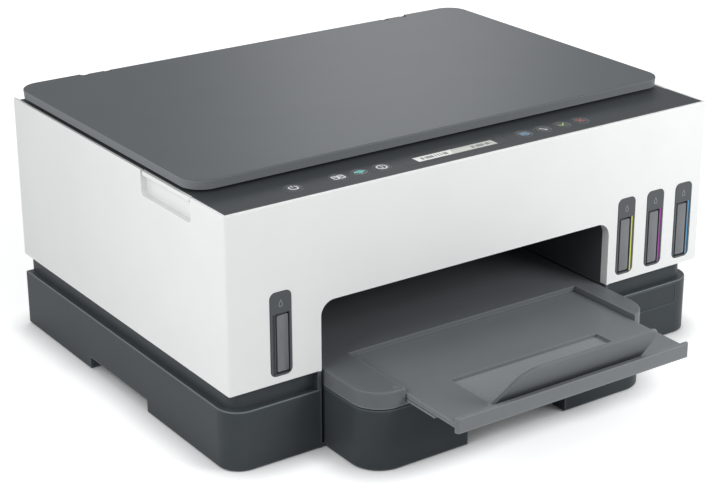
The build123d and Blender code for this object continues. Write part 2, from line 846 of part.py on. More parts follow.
# Feed roller, output roller and star wheels across the paper's path
pulley_x = plate_xs[0] - pulley_offset
shaft_right = plate_xs[1] + frame_sheet + shaft_end
sleeve_first = bay_middle - (sleeve_count - 1) / 2 * sleeve_pitch
sleeve_xs = [sleeve_first + index * sleeve_pitch for index in range(sleeve_count)]
motor_face = pulley_x - pulley_width - motor_gap
with BuildPart() as feed_roller:
    rod_x((motor_face - feed_shaft_in, shaft_right), feed_y, roller_z, roller_shaft)
    rod_x(sheet_span, feed_y, roller_z, feed_radius)
    rod_x((pulley_x - pulley_width, pulley_x), feed_y, roller_z, pulley_radius)
keep(feed_roller, "feed_roller")

with BuildPart() as output_roller:
    rod_x((pulley_x - pulley_width, shaft_right), output_y, roller_z, roller_shaft)
    for x in sleeve_xs:
        rod_x((x - sleeve_length / 2, x + sleeve_length / 2), output_y, roller_z, output_radius)
    rod_x((pulley_x - pulley_width, pulley_x), output_y, roller_z, pulley_radius)
keep(output_roller, "output_roller")

with BuildPart() as star_wheels:
    rod_x((plate_xs[0], plate_xs[1] + frame_sheet), output_y, star_z, star_shaft)
    for x in sleeve_xs:
        for shift in (-star_shift, star_shift):
            with BuildSketch(Plane.YZ.offset(x + shift - star_width / 2)):
                with Locations((output_y, star_z)):
                    RegularPolygon(star_radius, star_points)
            extrude(amount=star_width)
keep(star_wheels, "star_wheels")

with BuildPart() as feed_belt:
    with BuildSketch(Plane.YZ.offset(pulley_x - pulley_width + belt_inset)):
        length = feed_y - output_y
        with Locations(((feed_y + output_y) / 2, roller_z)):
            SlotCenterToCenter(length, 2 * (pulley_radius + belt_gap + belt_thickness))
            SlotCenterToCenter(length, 2 * (pulley_radius + belt_gap), mode=Mode.SUBTRACT)
    extrude(amount=pulley_width - 2 * belt_inset)
keep(feed_belt, "feed_belt")

# Rear paper guide that turns the sheet from the tray up to the feed roller
with BuildPart() as paper_guide:
    with BuildSketch(Plane.YZ.offset(bay_left)):
        with Locations((guide_y, guide_z)):
            Circle(guide_radius + guide_sheet)
            Circle(guide_radius, mode=Mode.SUBTRACT)
        with Locations((guide_y - guide_radius, guide_z)):
            Rectangle(2 * guide_radius + guide_cut, 3 * guide_radius, mode=Mode.SUBTRACT)
        with Locations((guide_y, guide_z - guide_radius)):
            Rectangle(2 * guide_radius + guide_cut, guide_mouth, mode=Mode.SUBTRACT)
    extrude(amount=bay_width)
keep(paper_guide, "paper_guide")

# Pick arm with its shaft, and the pick roller at its end
arm_span = (bay_middle - pick_arm_width / 2, bay_middle + pick_arm_width / 2)
with BuildPart() as pick_arm:
    rod_x((bay_left - partition_wall, bay_right + partition_wall), pick_y, pick_z, pick_shaft)
    rod_x(arm_span, pick_y, pick_z, pick_hub)
    with BuildSketch(Plane.YZ.offset(arm_span[0])):
        with BuildLine():
            Polyline((pick_y, pick_z + pick_hub), (pick_y, pick_z - pick_hub),
                     (pick_wheel_y, pick_wheel_z - pick_hub), (pick_wheel_y, pick_wheel_z + pick_hub),
                     close=True)
        make_face()
    extrude(amount=pick_arm_width)
    rod_x(arm_span, pick_wheel_y, pick_wheel_z, pick_hub)
    rod_x(arm_span, pick_wheel_y, pick_wheel_z, pick_axle + shaft_fit, Mode.SUBTRACT)
keep(pick_arm, "pick_arm")

with BuildPart() as pick_roller:
    wheel_in = pick_arm_width / 2 + pick_side_gap
    wheel_out = wheel_in + pick_wheel_width
    rod_x((bay_middle - wheel_out, bay_middle + wheel_out), pick_wheel_y, pick_wheel_z, pick_axle)
    rod_x((bay_middle - wheel_out, bay_middle - wheel_in), pick_wheel_y, pick_wheel_z, pick_radius)
    rod_x((bay_middle + wheel_in, bay_middle + wheel_out), pick_wheel_y, pick_wheel_z, pick_radius)
keep(pick_roller, "pick_roller")

# Carriage frame: sheet beam behind the carriage, legs on the partitions, end brackets for the rod
with BuildPart() as carriage_frame:
    bar((-beam_half, beam_half), (beam_y, beam_y + frame_sheet), (beam_bottom, beam_top))
    bar((-beam_half, beam_half), (beam_y - beam_flange, beam_y), (beam_top - frame_sheet, beam_top))
    foot_out = partition_wall + leg_width
    for x_span in ((bay_left - foot_out, bay_left), (bay_right, bay_right + foot_out)):
        bar(x_span, (beam_y, beam_y + frame_sheet), (casing_bottom, beam_bottom))
    for x_span in ((-beam_half, frame_sheet - beam_half), (beam_half - frame_sheet, beam_half)):
        bar(x_span, (rail_y - bracket_reach, beam_y), (rail_z - bracket_drop, beam_top))
    rod_y((beam_y - drive_width - 2 * drive_gap, beam_y), drive_x, belt_z, drive_pin)
    rod_y((beam_y, beam_y + frame_sheet), -drive_x, belt_z, drive_pin + motor_shaft_gap, Mode.SUBTRACT)
keep(carriage_frame, "carriage_frame")

with BuildPart() as carriage_rod:
    rod_x((frame_sheet - beam_half, beam_half - frame_sheet), rail_y, rail_z, rod_radius)
keep(carriage_rod, "carriage_rod")

# Carriage belt with its driven pulley and its idler
belt_y = (beam_y - drive_width - drive_gap, beam_y - drive_gap)
with BuildPart() as carriage_belt:
    with BuildSketch(Plane.XZ.offset(-belt_y[0])):
        with Locations((0, belt_z)):
            SlotCenterToCenter(2 * drive_x, 2 * (drive_radius + belt_gap + belt_thickness))
            SlotCenterToCenter(2 * drive_x, 2 * (drive_radius + belt_gap), mode=Mode.SUBTRACT)
    extrude(amount=-drive_width)
keep(carriage_belt, "carriage_belt")

with BuildPart() as motor_pulley:
    rod_y(belt_y, -drive_x, belt_z, drive_radius)
    rod_y((belt_y[1], beam_y + frame_sheet + motor_shaft), -drive_x, belt_z, drive_pin)
keep(motor_pulley, "motor_pulley")

with BuildPart() as idler_pulley:
    rod_y(belt_y, drive_x, belt_z, drive_radius)
    rod_y(belt_y, drive_x, belt_z, drive_pin + shaft_fit, Mode.SUBTRACT)
keep(idler_pulley, "idler_pulley")

# Carriage motor behind the beam and feed motor on the feed roller's shaft
with BuildPart() as motors:
    motor_y = beam_y + frame_sheet
    rod_y((motor_y, motor_y + motor_length), -drive_x, belt_z, motor_radius)
    rod_y((motor_y, motor_y + motor_bore), -drive_x, belt_z, drive_pin + shaft_fit, Mode.SUBTRACT)
    motor_span = (motor_face - motor_length, motor_face)
    rod_x(motor_span, feed_y, roller_z, roller_z - pan_top)
    bar(motor_span, (feed_y - motor_foot, feed_y + motor_foot), (casing_bottom, roller_z))
    rod_x((motor_face - feed_bore, motor_face), feed_y, roller_z, roller_shaft + shaft_fit, Mode.SUBTRACT)
keep(motors, "motors")

# Print carriage, parked at the right over the service station
carriage_span = (carriage_rest_x - carriage_width / 2, carriage_rest_x + carriage_width / 2)
fork_z = belt_z - drive_radius - belt_gap - belt_thickness / 2
with BuildPart() as carriage_shell:
    bar(carriage_span, (carriage_front, carriage_back), (carriage_bottom, carriage_top))
    fillet(carriage_shell.edges().filter_by(Axis.Z), carriage_edge)
    bar((carriage_span[0] + carriage_wall, carriage_span[1] - carriage_wall),
        (carriage_front + carriage_wall, rail_y - rod_radius - rod_block),
        (carriage_bottom + carriage_wall, carriage_top - carriage_roof), Mode.SUBTRACT)
    bar((carriage_rest_x - carriage_mouth_half, carriage_rest_x + carriage_mouth_half),
        (carriage_front + carriage_mouth_inset, rail_y - rod_radius - mouth_block),
        (carriage_top - carriage_roof, carriage_top), Mode.SUBTRACT)
    fork_x = (carriage_rest_x - fork_half, carriage_rest_x + fork_half)
    fork_slit = belt_thickness / 2 + pass_gap
    bar(fork_x, (carriage_back, beam_y - pass_gap), (fork_z - fork_height, fork_z + fork_height))
    bar(fork_x, (belt_y[0] - pass_gap, beam_y), (fork_z - fork_slit, fork_z + fork_slit), Mode.SUBTRACT)
    rod_x(carriage_span, rail_y, rail_z, rod_radius + shaft_fit, Mode.SUBTRACT)
keep(carriage_shell, "carriage_shell")

head_span = (carriage_front + head_start, carriage_front + head_start + head_length)
head_xs = (carriage_rest_x - head_shift, carriage_rest_x + head_shift)
with BuildPart() as printheads:
    for x in head_xs:
        bar((x - head_width / 2, x + head_width / 2), head_span, (head_bottom, carriage_bottom))
keep(printheads, "printheads")

# Service station with its two sealing caps, under the parked carriage
with BuildPart() as service_station:
    station = (bay_right + partition_wall + station_gap, carriage_span[1] + station_margin)
    cup_bottom = head_bottom - cup_height
    cup_top = head_bottom - cup_gap
    cup_half = head_width / 2 - cup_inset
    cup_y = (head_span[0] + cup_end_inset, head_span[1] - cup_end_inset)
    bar(station, (head_span[0] - station_margin, head_span[1] + station_margin), (casing_bottom, cup_bottom))
    for x in head_xs:
        bar((x - cup_half, x + cup_half), cup_y, (cup_bottom, cup_top))
        bar((x - cup_half + cup_wall, x + cup_half - cup_wall), (cup_y[0] + cup_wall, cup_y[1] - cup_wall),
            (head_bottom - cup_depth, cup_top), Mode.SUBTRACT)
keep(service_station, "service_station")

# Main board on the left wall's posts
with BuildPart() as main_board:
    bar((board_x, board_x + board_thickness), (posts_y[0] - board_border[0], posts_y[1] + board_border[0]),
        (posts_z[0] - board_border[1], posts_z[1] + board_border[1]))
    for y, z, size in chips:
        bar((board_x + board_thickness, board_x + board_thickness + chip_height),
            (y - size / 2, y + size / 2), (z - size / 2, z + size / 2))
keep(main_board, "main_board")

# Power supply on the base's floor, and the sockets at the back
with BuildPart() as power_supply:
    supply_right = base_width / 2 - notch_depth - base_wall - supply_gap
    bar((bay_right + partition_wall + supply_gap, supply_right), (supply_front, base_back - supply_back_gap),
        (base_floor_top, base_ledge - supply_gap))
    fillet(power_supply.edges().filter_by(Axis.Z), supply_edge)
keep(power_supply, "power_supply")

with BuildPart() as rear_sockets:
    bar((socket_x - socket_width / 2, socket_x + socket_width / 2), (base_back - socket_depth, base_back),
        (socket_z - socket_height / 2, socket_z + socket_height / 2))
    with BuildSketch(Plane.XZ.offset(-base_back)):
        with Locations((socket_x, socket_z)):
            SlotOverall(socket_width - socket_rim, socket_height - socket_rim)
    extrude(amount=socket_recess, mode=Mode.SUBTRACT)
    for x in (socket_x - pin_shift, socket_x + pin_shift):
        rod_y((base_back - socket_recess, base_back - pin_sunk), x, socket_z, pin_radius)
    bar((port_x - port_width / 2, port_x + port_width / 2), (back - port_depth, back),
        (port_z - port_height / 2, port_z + port_height / 2))
    port_back = back - port_depth + port_floor
    bar((port_x - port_mouth_half[0], port_x + port_mouth_half[0]), (port_back, back),
        (port_z - port_mouth_half[1], port_z + port_mouth_half[1]), Mode.SUBTRACT)
    bar((port_x - tongue_half, port_x + tongue_half), (port_back, back - port_floor),
        (port_z + tongue_span[0], port_z + tongue_span[1]))
keep(rear_sockets, "rear_sockets")

# Scanner deck: top plate with the control strip, rear hinge barrel and ears for the lid
ear_xs = []
for side in (-1, 1):
    for edge in (-1, 1):
        ear_in = side * lid_hinge_x + edge * (lid_knuckle / 2 + pass_gap)
        ear_xs.append(sorted((ear_in, ear_in + edge * lid_ear)))
glass_x = (-glass_length / 2, glass_length / 2)
glass_y = (glass_middle - glass_width / 2, glass_middle + glass_width / 2)
display_x = (display_left, display_left + display_width)
display_span = (display_y - display_depth / 2, display_y + display_depth / 2)
with BuildPart() as scanner_deck:
    bar((-deck_half, deck_half), (deck_front, unit_hinge_y), (deck_bottom, casing_top))
    rod_x((-deck_half, deck_half), unit_hinge_y, unit_hinge_z, unit_hinge_radius)
    for ear in ear_xs:
        bar(ear, (lid_hinge_y - lid_ear_radius, lid_hinge_y + lid_ear_radius), (unit_hinge_z, lid_hinge_z))
        rod_x(ear, lid_hinge_y, lid_hinge_z, lid_ear_radius)
        rod_x(ear, lid_hinge_y, lid_hinge_z, lid_pin_radius + shaft_fit, Mode.SUBTRACT)
    bar(glass_x, glass_y, (deck_bottom, casing_top), Mode.SUBTRACT)
    for x in button_places:
        rod_z((deck_bottom, casing_top), x, control_y, button_radius + button_side_gap, Mode.SUBTRACT)
    bar(display_x, display_span, (casing_top - display_pane, casing_top), Mode.SUBTRACT)
    bar((display_x[0] + display_step, display_x[1] - display_step),
        (display_span[0] + display_step, display_span[1] - display_step),
        (deck_bottom, casing_top), Mode.SUBTRACT)
    with BuildSketch(Plane.XY.offset(casing_top)):
        with Locations((sum(insert_x) / 2, sum(insert_y) / 2)):
            insert_size = (insert_x[1] - insert_x[0], insert_y[1] - insert_y[0])
            RectangleRounded(*insert_size, insert_corner)
            RectangleRounded(*(size - 2 * insert_seam for size in insert_size), insert_corner - insert_seam,
                             mode=Mode.SUBTRACT)
    extrude(amount=-insert_seam_depth, mode=Mode.SUBTRACT)
    for side in (-1, 1):
        bore = sorted((side * deck_half, side * (inner - unit_pin_length - pass_gap)))
        rod_x(bore, unit_hinge_y, unit_hinge_z, unit_pin_radius + shaft_fit, Mode.SUBTRACT)
keep(scanner_deck, "scanner_deck")

# Scanner tub under the deck, with the scan bar's rail and the control board's posts
tub_inner = tub_half - tub_wall
board_x_span = (button_places[0] - board_margin, button_places[-1] + board_margin)
board_bottom = board_top - board_thickness
with BuildPart() as scanner_tub:
    bar((-tub_half, tub_half), (tub_front, tub_back), (tub_bottom, deck_bottom))
    fillet(scanner_tub.edges().filter_by(Axis.Z), tub_edge)
    bar((-tub_inner, tub_inner), (tub_front + tub_wall, tub_back - tub_wall),
        (tub_floor_top, deck_bottom), Mode.SUBTRACT)
    bar((-tub_inner, tub_inner), (glass_middle - scan_rail_web, glass_middle + scan_rail_web),
        (tub_floor_top, scan_rail_z))
    rod_x((-tub_inner, tub_inner), glass_middle, scan_rail_z, scan_rail_radius)
    for x in (board_x_span[0] + board_post_inset, 0.0, board_x_span[1] - board_post_inset):
        rod_z((tub_floor_top, board_bottom), x, control_y, board_post)
keep(scanner_tub, "scanner_tub")

# White lips that stand in the side pockets and lift with the scanner unit
with BuildPart() as grip_lips:
    for side in (-1, 1):
        leaf = sorted((side * (tub_half + lip_seam), side * half))
        edge = sorted((side * deck_half, side * half))
        lip_y = (pocket_front + lip_end_gap, pocket_back - lip_end_gap)
        bar(leaf, lip_y, (casing_top - lip_height, deck_bottom))
        bar(edge, lip_y, (deck_bottom, casing_top))
    fillet(grip_lips.edges().filter_by(Axis.X).group_by(Axis.Z)[0], lip_end_corner)
    low = grip_lips.edges().filter_by(Axis.Y).group_by(Axis.Z)[0].sort_by(Axis.X)
    fillet([low[0], low[-1]], lip_roll)
keep(grip_lips, "grip_lips")

with BuildPart() as scan_glass:
    bar((glass_x[0] - glass_margin, glass_x[1] + glass_margin),
        (glass_y[0] - glass_margin, glass_y[1] + glass_margin), (glass_bottom, deck_bottom))
keep(scan_glass, "scan_glass")

# Scan bar riding on the tub's rail
bar_x = (scan_bar_park - scan_bar_width / 2, scan_bar_park + scan_bar_width / 2)
with BuildPart() as scan_bar:
    bar_bottom = scan_rail_z + scan_bar_rise
    bar_top = glass_bottom - pass_gap
    bar(bar_x, glass_y, (bar_bottom, bar_top))
    bar(bar_x, (glass_middle - scan_shoe, glass_middle + scan_shoe),
        (scan_rail_z - scan_bar_drop, bar_bottom))
    rod_x(bar_x, glass_middle, scan_rail_z, scan_rail_radius + shaft_fit, Mode.SUBTRACT)
    bar((scan_bar_park - scan_slit, scan_bar_park + scan_slit),
        (glass_y[0] + scan_slit_inset, glass_y[1] - scan_slit_inset),
        (bar_top - scan_slit_depth, bar_top), Mode.SUBTRACT)
keep(scan_bar, "scan_bar")

with BuildPart() as display_window:
    bar((display_x[0] + shaft_fit, display_x[1] - shaft_fit),
        (display_span[0] + shaft_fit, display_span[1] - shaft_fit),
        (casing_top - display_pane, casing_top - display_sink))
keep(display_window, "display_window")

# Control board with a switch under each button, and the display on it
button_bottom = casing_top + button_proud - button_height
with BuildPart() as control_board:
    bar(board_x_span, (control_y - board_depth / 2, control_y + board_depth / 2), (board_bottom, board_top))
    for x in button_places:
        bar((x - switch_half, x + switch_half), (control_y - switch_half, control_y + switch_half),
            (board_top, button_bottom - switch_gap))
    bar((display_x[0] - display_margin[0], display_x[1] + display_margin[0]),
        (display_span[0] - display_margin[1], display_span[1] + display_margin[1]),
        (board_top, deck_bottom - display_gap))
keep(control_board, "control_board")

# Round push buttons in the control strip
for name, x in zip(button_names, button_places):
    with BuildPart() as button:
        rod_z((button_bottom, casing_top + button_proud), x, control_y, button_radius)
        fillet(button.edges().group_by(Axis.Z)[-1], button_rim)
        flange_top = deck_bottom - button_flange_gap
        rod_z((flange_top - button_flange_thickness, flange_top), x, control_y,
              button_radius + button_flange)
    keep(button, f"{name}_button")

# Scanner lid with its knuckles, and the white backing above the glass
lid_middle = (lid_front + lid_back) / 2
with BuildPart() as lid_shell:
    with BuildSketch(Plane.XY.offset(lid_top)):
        with Locations((0, lid_middle)):
            RectangleRounded(lid_width, lid_back - lid_front, lid_corner)
    extrude(amount=-lid_thickness, taper=lid_taper)
    fillet(lid_shell.edges().group_by(Axis.Z)[-1], lid_top_edge)
    bar((lid_corner - lid_width / 2, lid_width / 2 - lid_corner),
        (lid_front + lid_rim, lid_hinge_y - lid_rim), (lid_bottom, lid_top - lid_skin), Mode.SUBTRACT)
    knuckles = (-lid_hinge_x - lid_knuckle, lid_hinge_x + lid_knuckle)
    bar(knuckles, (lid_hinge_y, back), (lid_bottom, lid_top), Mode.SUBTRACT)
    rod_x(knuckles, lid_hinge_y, lid_hinge_z, lid_thickness / 2)
    for ear in ear_xs:
        bar((ear[0] - pass_gap, ear[1] + pass_gap), (lid_hinge_y - lid_ear_radius - pass_gap, back),
            (lid_bottom, lid_top), Mode.SUBTRACT)
    for side in (-1, 1):
        pin_half = lid_knuckle / 2 + pass_gap + lid_ear
        rod_x((side * lid_hinge_x - pin_half, side * lid_hinge_x + pin_half), lid_hinge_y, lid_hinge_z,
              lid_pin_radius)
keep(lid_shell, "lid_shell")

with BuildPart() as lid_backing:
    bar((glass_x[0] + pad_gap, glass_x[1] - pad_gap), (glass_y[0] + pad_gap, glass_y[1] - pad_gap),
        (deck_bottom + pass_gap, lid_top - lid_skin))
keep(lid_backing, "lid_backing")

# Paper tray: low box with a rounded front that stands forward of the casing
rack_in = pinion_radius + tooth_fall
left_rack_y = (pinion_y + rack_in, pinion_y + rack_in + rack_width)
right_rack_y = (pinion_y - rack_in - rack_width, pinion_y - rack_in)
slot_in = guide_half - guide_travel - guide_slot_end
slot_out = guide_half + guide_wall + guide_slot_end
guide_slots = (
    ((bay_middle - slot_out, bay_middle - slot_in), left_rack_y),
    ((bay_middle + slot_in, bay_middle + slot_out), right_rack_y),
)
with BuildPart() as tray_body:
    bar((tray_left, tray_right), (tray_front, tray_back), (tray_bottom, tray_top))
    bar((tray_left, tray_right), (tray_front, base_front - over), (foot_height, tray_bottom))
    fillet(tray_body.edges().filter_by(Axis.Z).group_by(Axis.Y)[0], tray_corner)
    fillet(tray_body.edges().filter_by(Plane.XY).group_by(Axis.Z)[0].group_by(Axis.Y)[0], tray_edge)
    bar((tray_left + tray_wall, tray_right - tray_wall), (front, tray_back - tray_wall),
        (tray_floor_top, tray_top), Mode.SUBTRACT)
    with BuildSketch(Plane.XY.offset(tray_floor_top)):
        with Locations((bay_middle, tray_front + tray_wall)):
            RectangleRounded(tray_right - tray_left - 2 * tray_wall, 2 * tray_reach, tray_corner - tray_wall,
                             align=(Align.CENTER, Align.MIN))
    extrude(amount=tray_top - tray_floor_top, mode=Mode.SUBTRACT)
    with BuildSketch(Plane.XY.offset(foot_height)):
        with Locations((bay_middle, tray_front + tray_wall)):
            RectangleRounded(tray_right - tray_left - 2 * tray_wall, tray_back - tray_front - 2 * tray_wall,
                             tray_corner - tray_wall, align=(Align.CENTER, Align.MIN))
    extrude(amount=tray_floor_bottom - foot_height, mode=Mode.SUBTRACT)
    bar((bay_middle - finger_notch_width / 2, bay_middle + finger_notch_width / 2),
        (tray_front, tray_front + tray_wall), (foot_height, foot_height + finger_notch_height), Mode.SUBTRACT)
    for cheek_x in (bay_middle - finger_notch_width / 2 - tray_wall, bay_middle + finger_notch_width / 2):
        with BuildSketch(Plane.YZ.offset(cheek_x)) as cheek:
            with Locations((tray_front + tray_wall, tray_floor_bottom)):
                Rectangle(finger_notch_depth, tray_floor_bottom - foot_height, align=(Align.MIN, Align.MAX))
            fillet(cheek.vertices().group_by(Axis.Y)[0].sort_by(Axis.X)[-1], finger_notch_corner)
        extrude(amount=tray_wall)
    bar((bay_middle - pick_notch / 2, bay_middle + pick_notch / 2), (tray_back - tray_wall, tray_back),
        (tray_floor_top, tray_top), Mode.SUBTRACT)
    for x_span, y_span in guide_slots:
        bar(x_span, (y_span[0] - pass_gap, y_span[1] + pass_gap),
            (tray_floor_bottom, tray_floor_top), Mode.SUBTRACT)
    stop_slot_back = stop_plate_y + stop_plate_foot + stop_plate_travel + guide_slot_end
    bar((bay_middle - stop_slot_half, bay_middle + stop_slot_half),
        (stop_plate_y - guide_slot_end, stop_slot_back), (tray_floor_bottom, tray_floor_top), Mode.SUBTRACT)
    rod_z((rack_bottom, tray_floor_bottom), bay_middle, pinion_y, pinion_pin_radius)
keep(tray_body, "tray_body")

# Width guides with their racks, and the pinion between them
tooth_root = (tooth_pitch - tooth_backlash) / 2 + tooth_fall * tan(tooth_angle)
tooth_tip = (tooth_pitch - tooth_backlash) / 2 - 2 * tooth_rise * tan(tooth_angle)
rack_top = rack_bottom + rack_height
for name, side, y_span in (("left", -1, left_rack_y), ("right", 1, right_rack_y)):
    with BuildPart() as width_guide:
        fence = sorted((bay_middle + side * guide_half, bay_middle + side * (guide_half + guide_wall)))
        bar(fence, (front + guide_start, front + guide_start + guide_length),
            (tray_floor_top + pass_gap, guide_top))
        bar(fence, y_span, (rack_bottom, tray_floor_top + pass_gap))
        rack = sorted((bay_middle + side * (guide_half + guide_wall), bay_middle - side * 2 * tooth_pitch))
        bar(rack, y_span, (rack_bottom, rack_top))
        pitch_y = pinion_y - side * pinion_radius
        count = int(guide_travel / tooth_pitch) + 2
        for index in range(-1, count):
            x = bay_middle + side * index * tooth_pitch
            with BuildSketch(Plane.XY.offset(rack_bottom)):
                with BuildLine():
                    foot_y = pitch_y - side * tooth_fall
                    tip_y = pitch_y + side * tooth_rise
                    Polyline((x - tooth_root / 2, foot_y), (x + tooth_root / 2, foot_y),
                             (x + tooth_tip / 2, tip_y), (x - tooth_tip / 2, tip_y), close=True)
                make_face()
            extrude(amount=rack_height)
    keep(width_guide, f"{name}_width_guide")

with BuildPart() as guide_pinion:
    with BuildSketch(Plane.XY.offset(rack_bottom)):
        with Locations((bay_middle, pinion_y)):
            Circle(pinion_radius - tooth_fall)
        for index in range(pinion_teeth):
            angle = 360 * (index + 0.5) / pinion_teeth
            with Locations(Location((bay_middle, pinion_y, 0), (0, 0, angle))):
                with Locations((pinion_radius + (tooth_rise - tooth_fall - tooth_sunk) / 2, 0)):
                    Trapezoid(tooth_root, tooth_fall + tooth_rise + tooth_sunk, tooth_base, rotation=-90)
        with Locations((bay_middle, pinion_y)):
            Circle(pinion_pin_radius + shaft_fit, mode=Mode.SUBTRACT)
    extrude(amount=rack_height)
keep(guide_pinion, "guide_pinion")

# Length guide in the tray's floor slot
with BuildPart() as length_guide:
    x_span = (bay_middle - stop_plate_width / 2, bay_middle + stop_plate_width / 2)
    bar(x_span, (stop_plate_y, stop_plate_y + guide_wall), (tray_floor_top + pass_gap, guide_top))
    sole_y = (stop_plate_y, stop_plate_y + stop_plate_foot)
    sole_bottom = tray_floor_top + pass_gap
    bar(x_span, sole_y, (sole_bottom, sole_bottom + stop_plate_sole))
    bar((bay_middle - stop_rail_half, bay_middle + stop_rail_half), sole_y, (tray_floor_bottom, sole_bottom))
keep(length_guide, "length_guide")

# Output deck: shallow cover on the tray with a slot for the pull-out extension
slot_x = (extension_left - extension_side_gap, extension_right + extension_side_gap)
slot_back = front + extension_tail + extension_travel + extension_end
with BuildPart() as output_deck:
    bar((tray_left, tray_right), (tray_front, output_back), (output_bottom, output_top))
    fillet(output_deck.edges().filter_by(Axis.Z).group_by(Axis.Y)[0], tray_corner)
    fillet(output_deck.edges().group_by(Axis.Z)[-1], deck_edge)
    pad_left = (tray_left + deck_pad_inset, slot_x[0] - tray_wall)
    pad_right = (slot_x[1] + tray_wall, tray_right - deck_pad_inset)
    for x_span in (pad_left, pad_right):
        bar(x_span, (front, output_back), (tray_top, output_bottom))
    bar(slot_x, (tray_front, slot_back), (slot_bottom, slot_top), Mode.SUBTRACT)
    bar(slot_x, (tray_front, front + extension_open), (slot_bottom, output_top), Mode.SUBTRACT)
    hollow_left = (tray_left + 2 * tray_wall, slot_x[0] - tray_wall)
    hollow_right = (slot_x[1] + tray_wall, tray_right - 2 * tray_wall)
    for x_span in (hollow_left, hollow_right):
        bar(x_span, (tray_front + tray_corner, output_back - tray_wall),
            (tray_top, output_top - deck_skin), Mode.SUBTRACT)
keep(output_deck, "output_deck")

# Pull-out extension: plate on two ribs, upturned front lip and a recess for the paper stop
recess_half = stop_foot_width / 2 + pass_gap
extension_back = front + extension_tail
with BuildPart() as tray_extension:
    plate_x = (extension_left, extension_right)
    bar(plate_x, (lip_front + lip_thickness, extension_back), (plate_bottom, plate_top))
    bar(plate_x, (lip_front, lip_front + lip_thickness), (lip_bottom, lip_bottom + lip_rise))
    fillet(tray_extension.edges().filter_by(Axis.Z).group_by(Axis.Y)[0], lip_corner)
    bed_half = recess_half + stop_bed_margin
    bar((extension_middle - bed_half, extension_middle + bed_half),
        (stop_hinge_y - stop_bed_half, stop_hinge_y + stop_bed_half),
        (plate_bottom - stop_bed_depth, plate_bottom))
    for x in (extension_left, extension_right - extension_rib_width):
        bar((x, x + extension_rib_width), (tray_front - extension_rib_start, extension_back),
            (plate_bottom - extension_rib, plate_bottom))
    for x in (extension_left, extension_right - extension_groove):
        bar((x, x + extension_groove), (tray_front - extension_rib_start, extension_back),
            (plate_bottom - extension_groove_height, plate_bottom), Mode.SUBTRACT)
    bar((extension_middle - recess_half, extension_middle + recess_half),
        (stop_hinge_y - stop_barrel - 3 * pass_gap, stop_hinge_y + stop_length + stop_recess_end),
        (stop_hinge_z - stop_thickness / 2 - pass_gap, plate_top), Mode.SUBTRACT)
    bar((extension_middle - recess_half, extension_middle + recess_half),
        (stop_hinge_y - stop_barrel - pass_gap, stop_hinge_y + stop_barrel + pass_gap),
        (stop_hinge_z - stop_barrel - pass_gap, plate_top), Mode.SUBTRACT)
    pin_half = stop_foot_width / 2 + stop_pin_length
    rod_x((extension_middle - pin_half, extension_middle + pin_half), stop_hinge_y, stop_hinge_z,
          stop_pin_radius + shaft_fit, Mode.SUBTRACT)
keep(tray_extension, "tray_extension")

# Paper stop, swung up and leaning forward as it stands in use
stop_plane = Plane(origin=(extension_middle, stop_hinge_y, stop_hinge_z), x_dir=(1, 0, 0),
                   z_dir=(0, -sin(lean), -cos(lean)))
with BuildPart() as paper_stop:
    with BuildSketch(stop_plane) as outline:
        with BuildLine():
            Polyline((-stop_foot_width / 2, 0), (stop_foot_width / 2, 0), (stop_tip_width / 2, stop_length),
                     (-stop_tip_width / 2, stop_length), close=True)
        make_face()
        fillet(outline.vertices().group_by(Axis.Y)[-1], stop_corner)
    extrude(amount=stop_thickness / 2, both=True)
    rod_x((extension_middle - stop_foot_width / 2, extension_middle + stop_foot_width / 2),
          stop_hinge_y, stop_hinge_z, stop_barrel)
    rod_x((extension_middle - pin_half, extension_middle + pin_half), stop_hinge_y, stop_hinge_z,
          stop_pin_radius)
keep(paper_stop, "paper_stop")
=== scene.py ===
"""Looks of an all-in-one inkjet printer with refillable tanks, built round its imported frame.

Lengths are millimetres in the frame's axes: +X to the right, front towards -Y, +Z up. Only the studio's floor
and lamps are in metres.
"""

import logging
import math
from dataclasses import dataclass, field
from enum import Enum
from typing import Protocol

import bmesh
import bpy
import numpy as np
from mathutils import Matrix, Vector


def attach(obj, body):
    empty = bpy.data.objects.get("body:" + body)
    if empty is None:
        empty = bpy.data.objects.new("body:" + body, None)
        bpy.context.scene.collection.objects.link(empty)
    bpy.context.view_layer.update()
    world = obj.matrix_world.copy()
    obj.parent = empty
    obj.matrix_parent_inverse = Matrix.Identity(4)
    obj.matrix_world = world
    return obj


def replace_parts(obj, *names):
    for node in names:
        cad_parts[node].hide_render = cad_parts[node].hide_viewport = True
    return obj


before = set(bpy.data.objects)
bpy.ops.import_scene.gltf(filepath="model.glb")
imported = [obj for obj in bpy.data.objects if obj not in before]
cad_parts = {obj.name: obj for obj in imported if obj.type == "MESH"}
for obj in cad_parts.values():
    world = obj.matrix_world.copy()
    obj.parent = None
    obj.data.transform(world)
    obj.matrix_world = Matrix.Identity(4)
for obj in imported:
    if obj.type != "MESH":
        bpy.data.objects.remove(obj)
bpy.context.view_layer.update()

MM = 0.001
SHARP_ANGLE = math.radians(32)
DRIFT_SIZE = 55.0
GRAIN_DEPTH = 0.04
# Reach of the pale outer edges, which are partly wear and partly painted highlight.
WEAR_AND_HIGHLIGHT_REACH = 1.7
# Reach of the painted shade in hollows.
HOLLOW_REACH = 9.0
# Band and paling of a painted highlight line at one level.
PAINTED_HIGHLIGHT_BAND = (0.15, 0.45)
PAINTED_HIGHLIGHT_FACTOR = 3.2
LOG = logging.getLogger("printer")
Rgb = tuple[float, float, float]
Pair = tuple[float, float]
Triple = tuple[float, float, float]
Rgba = tuple[float, float, float, float]
Points = np.ndarray | list[tuple[float, ...]]
Socket = bpy.types.NodeSocket
Material = bpy.types.Material
ORIGIN = (0.0, 0.0, 0.0)
OUT = np.array((0.0, 0.0, 1.0))


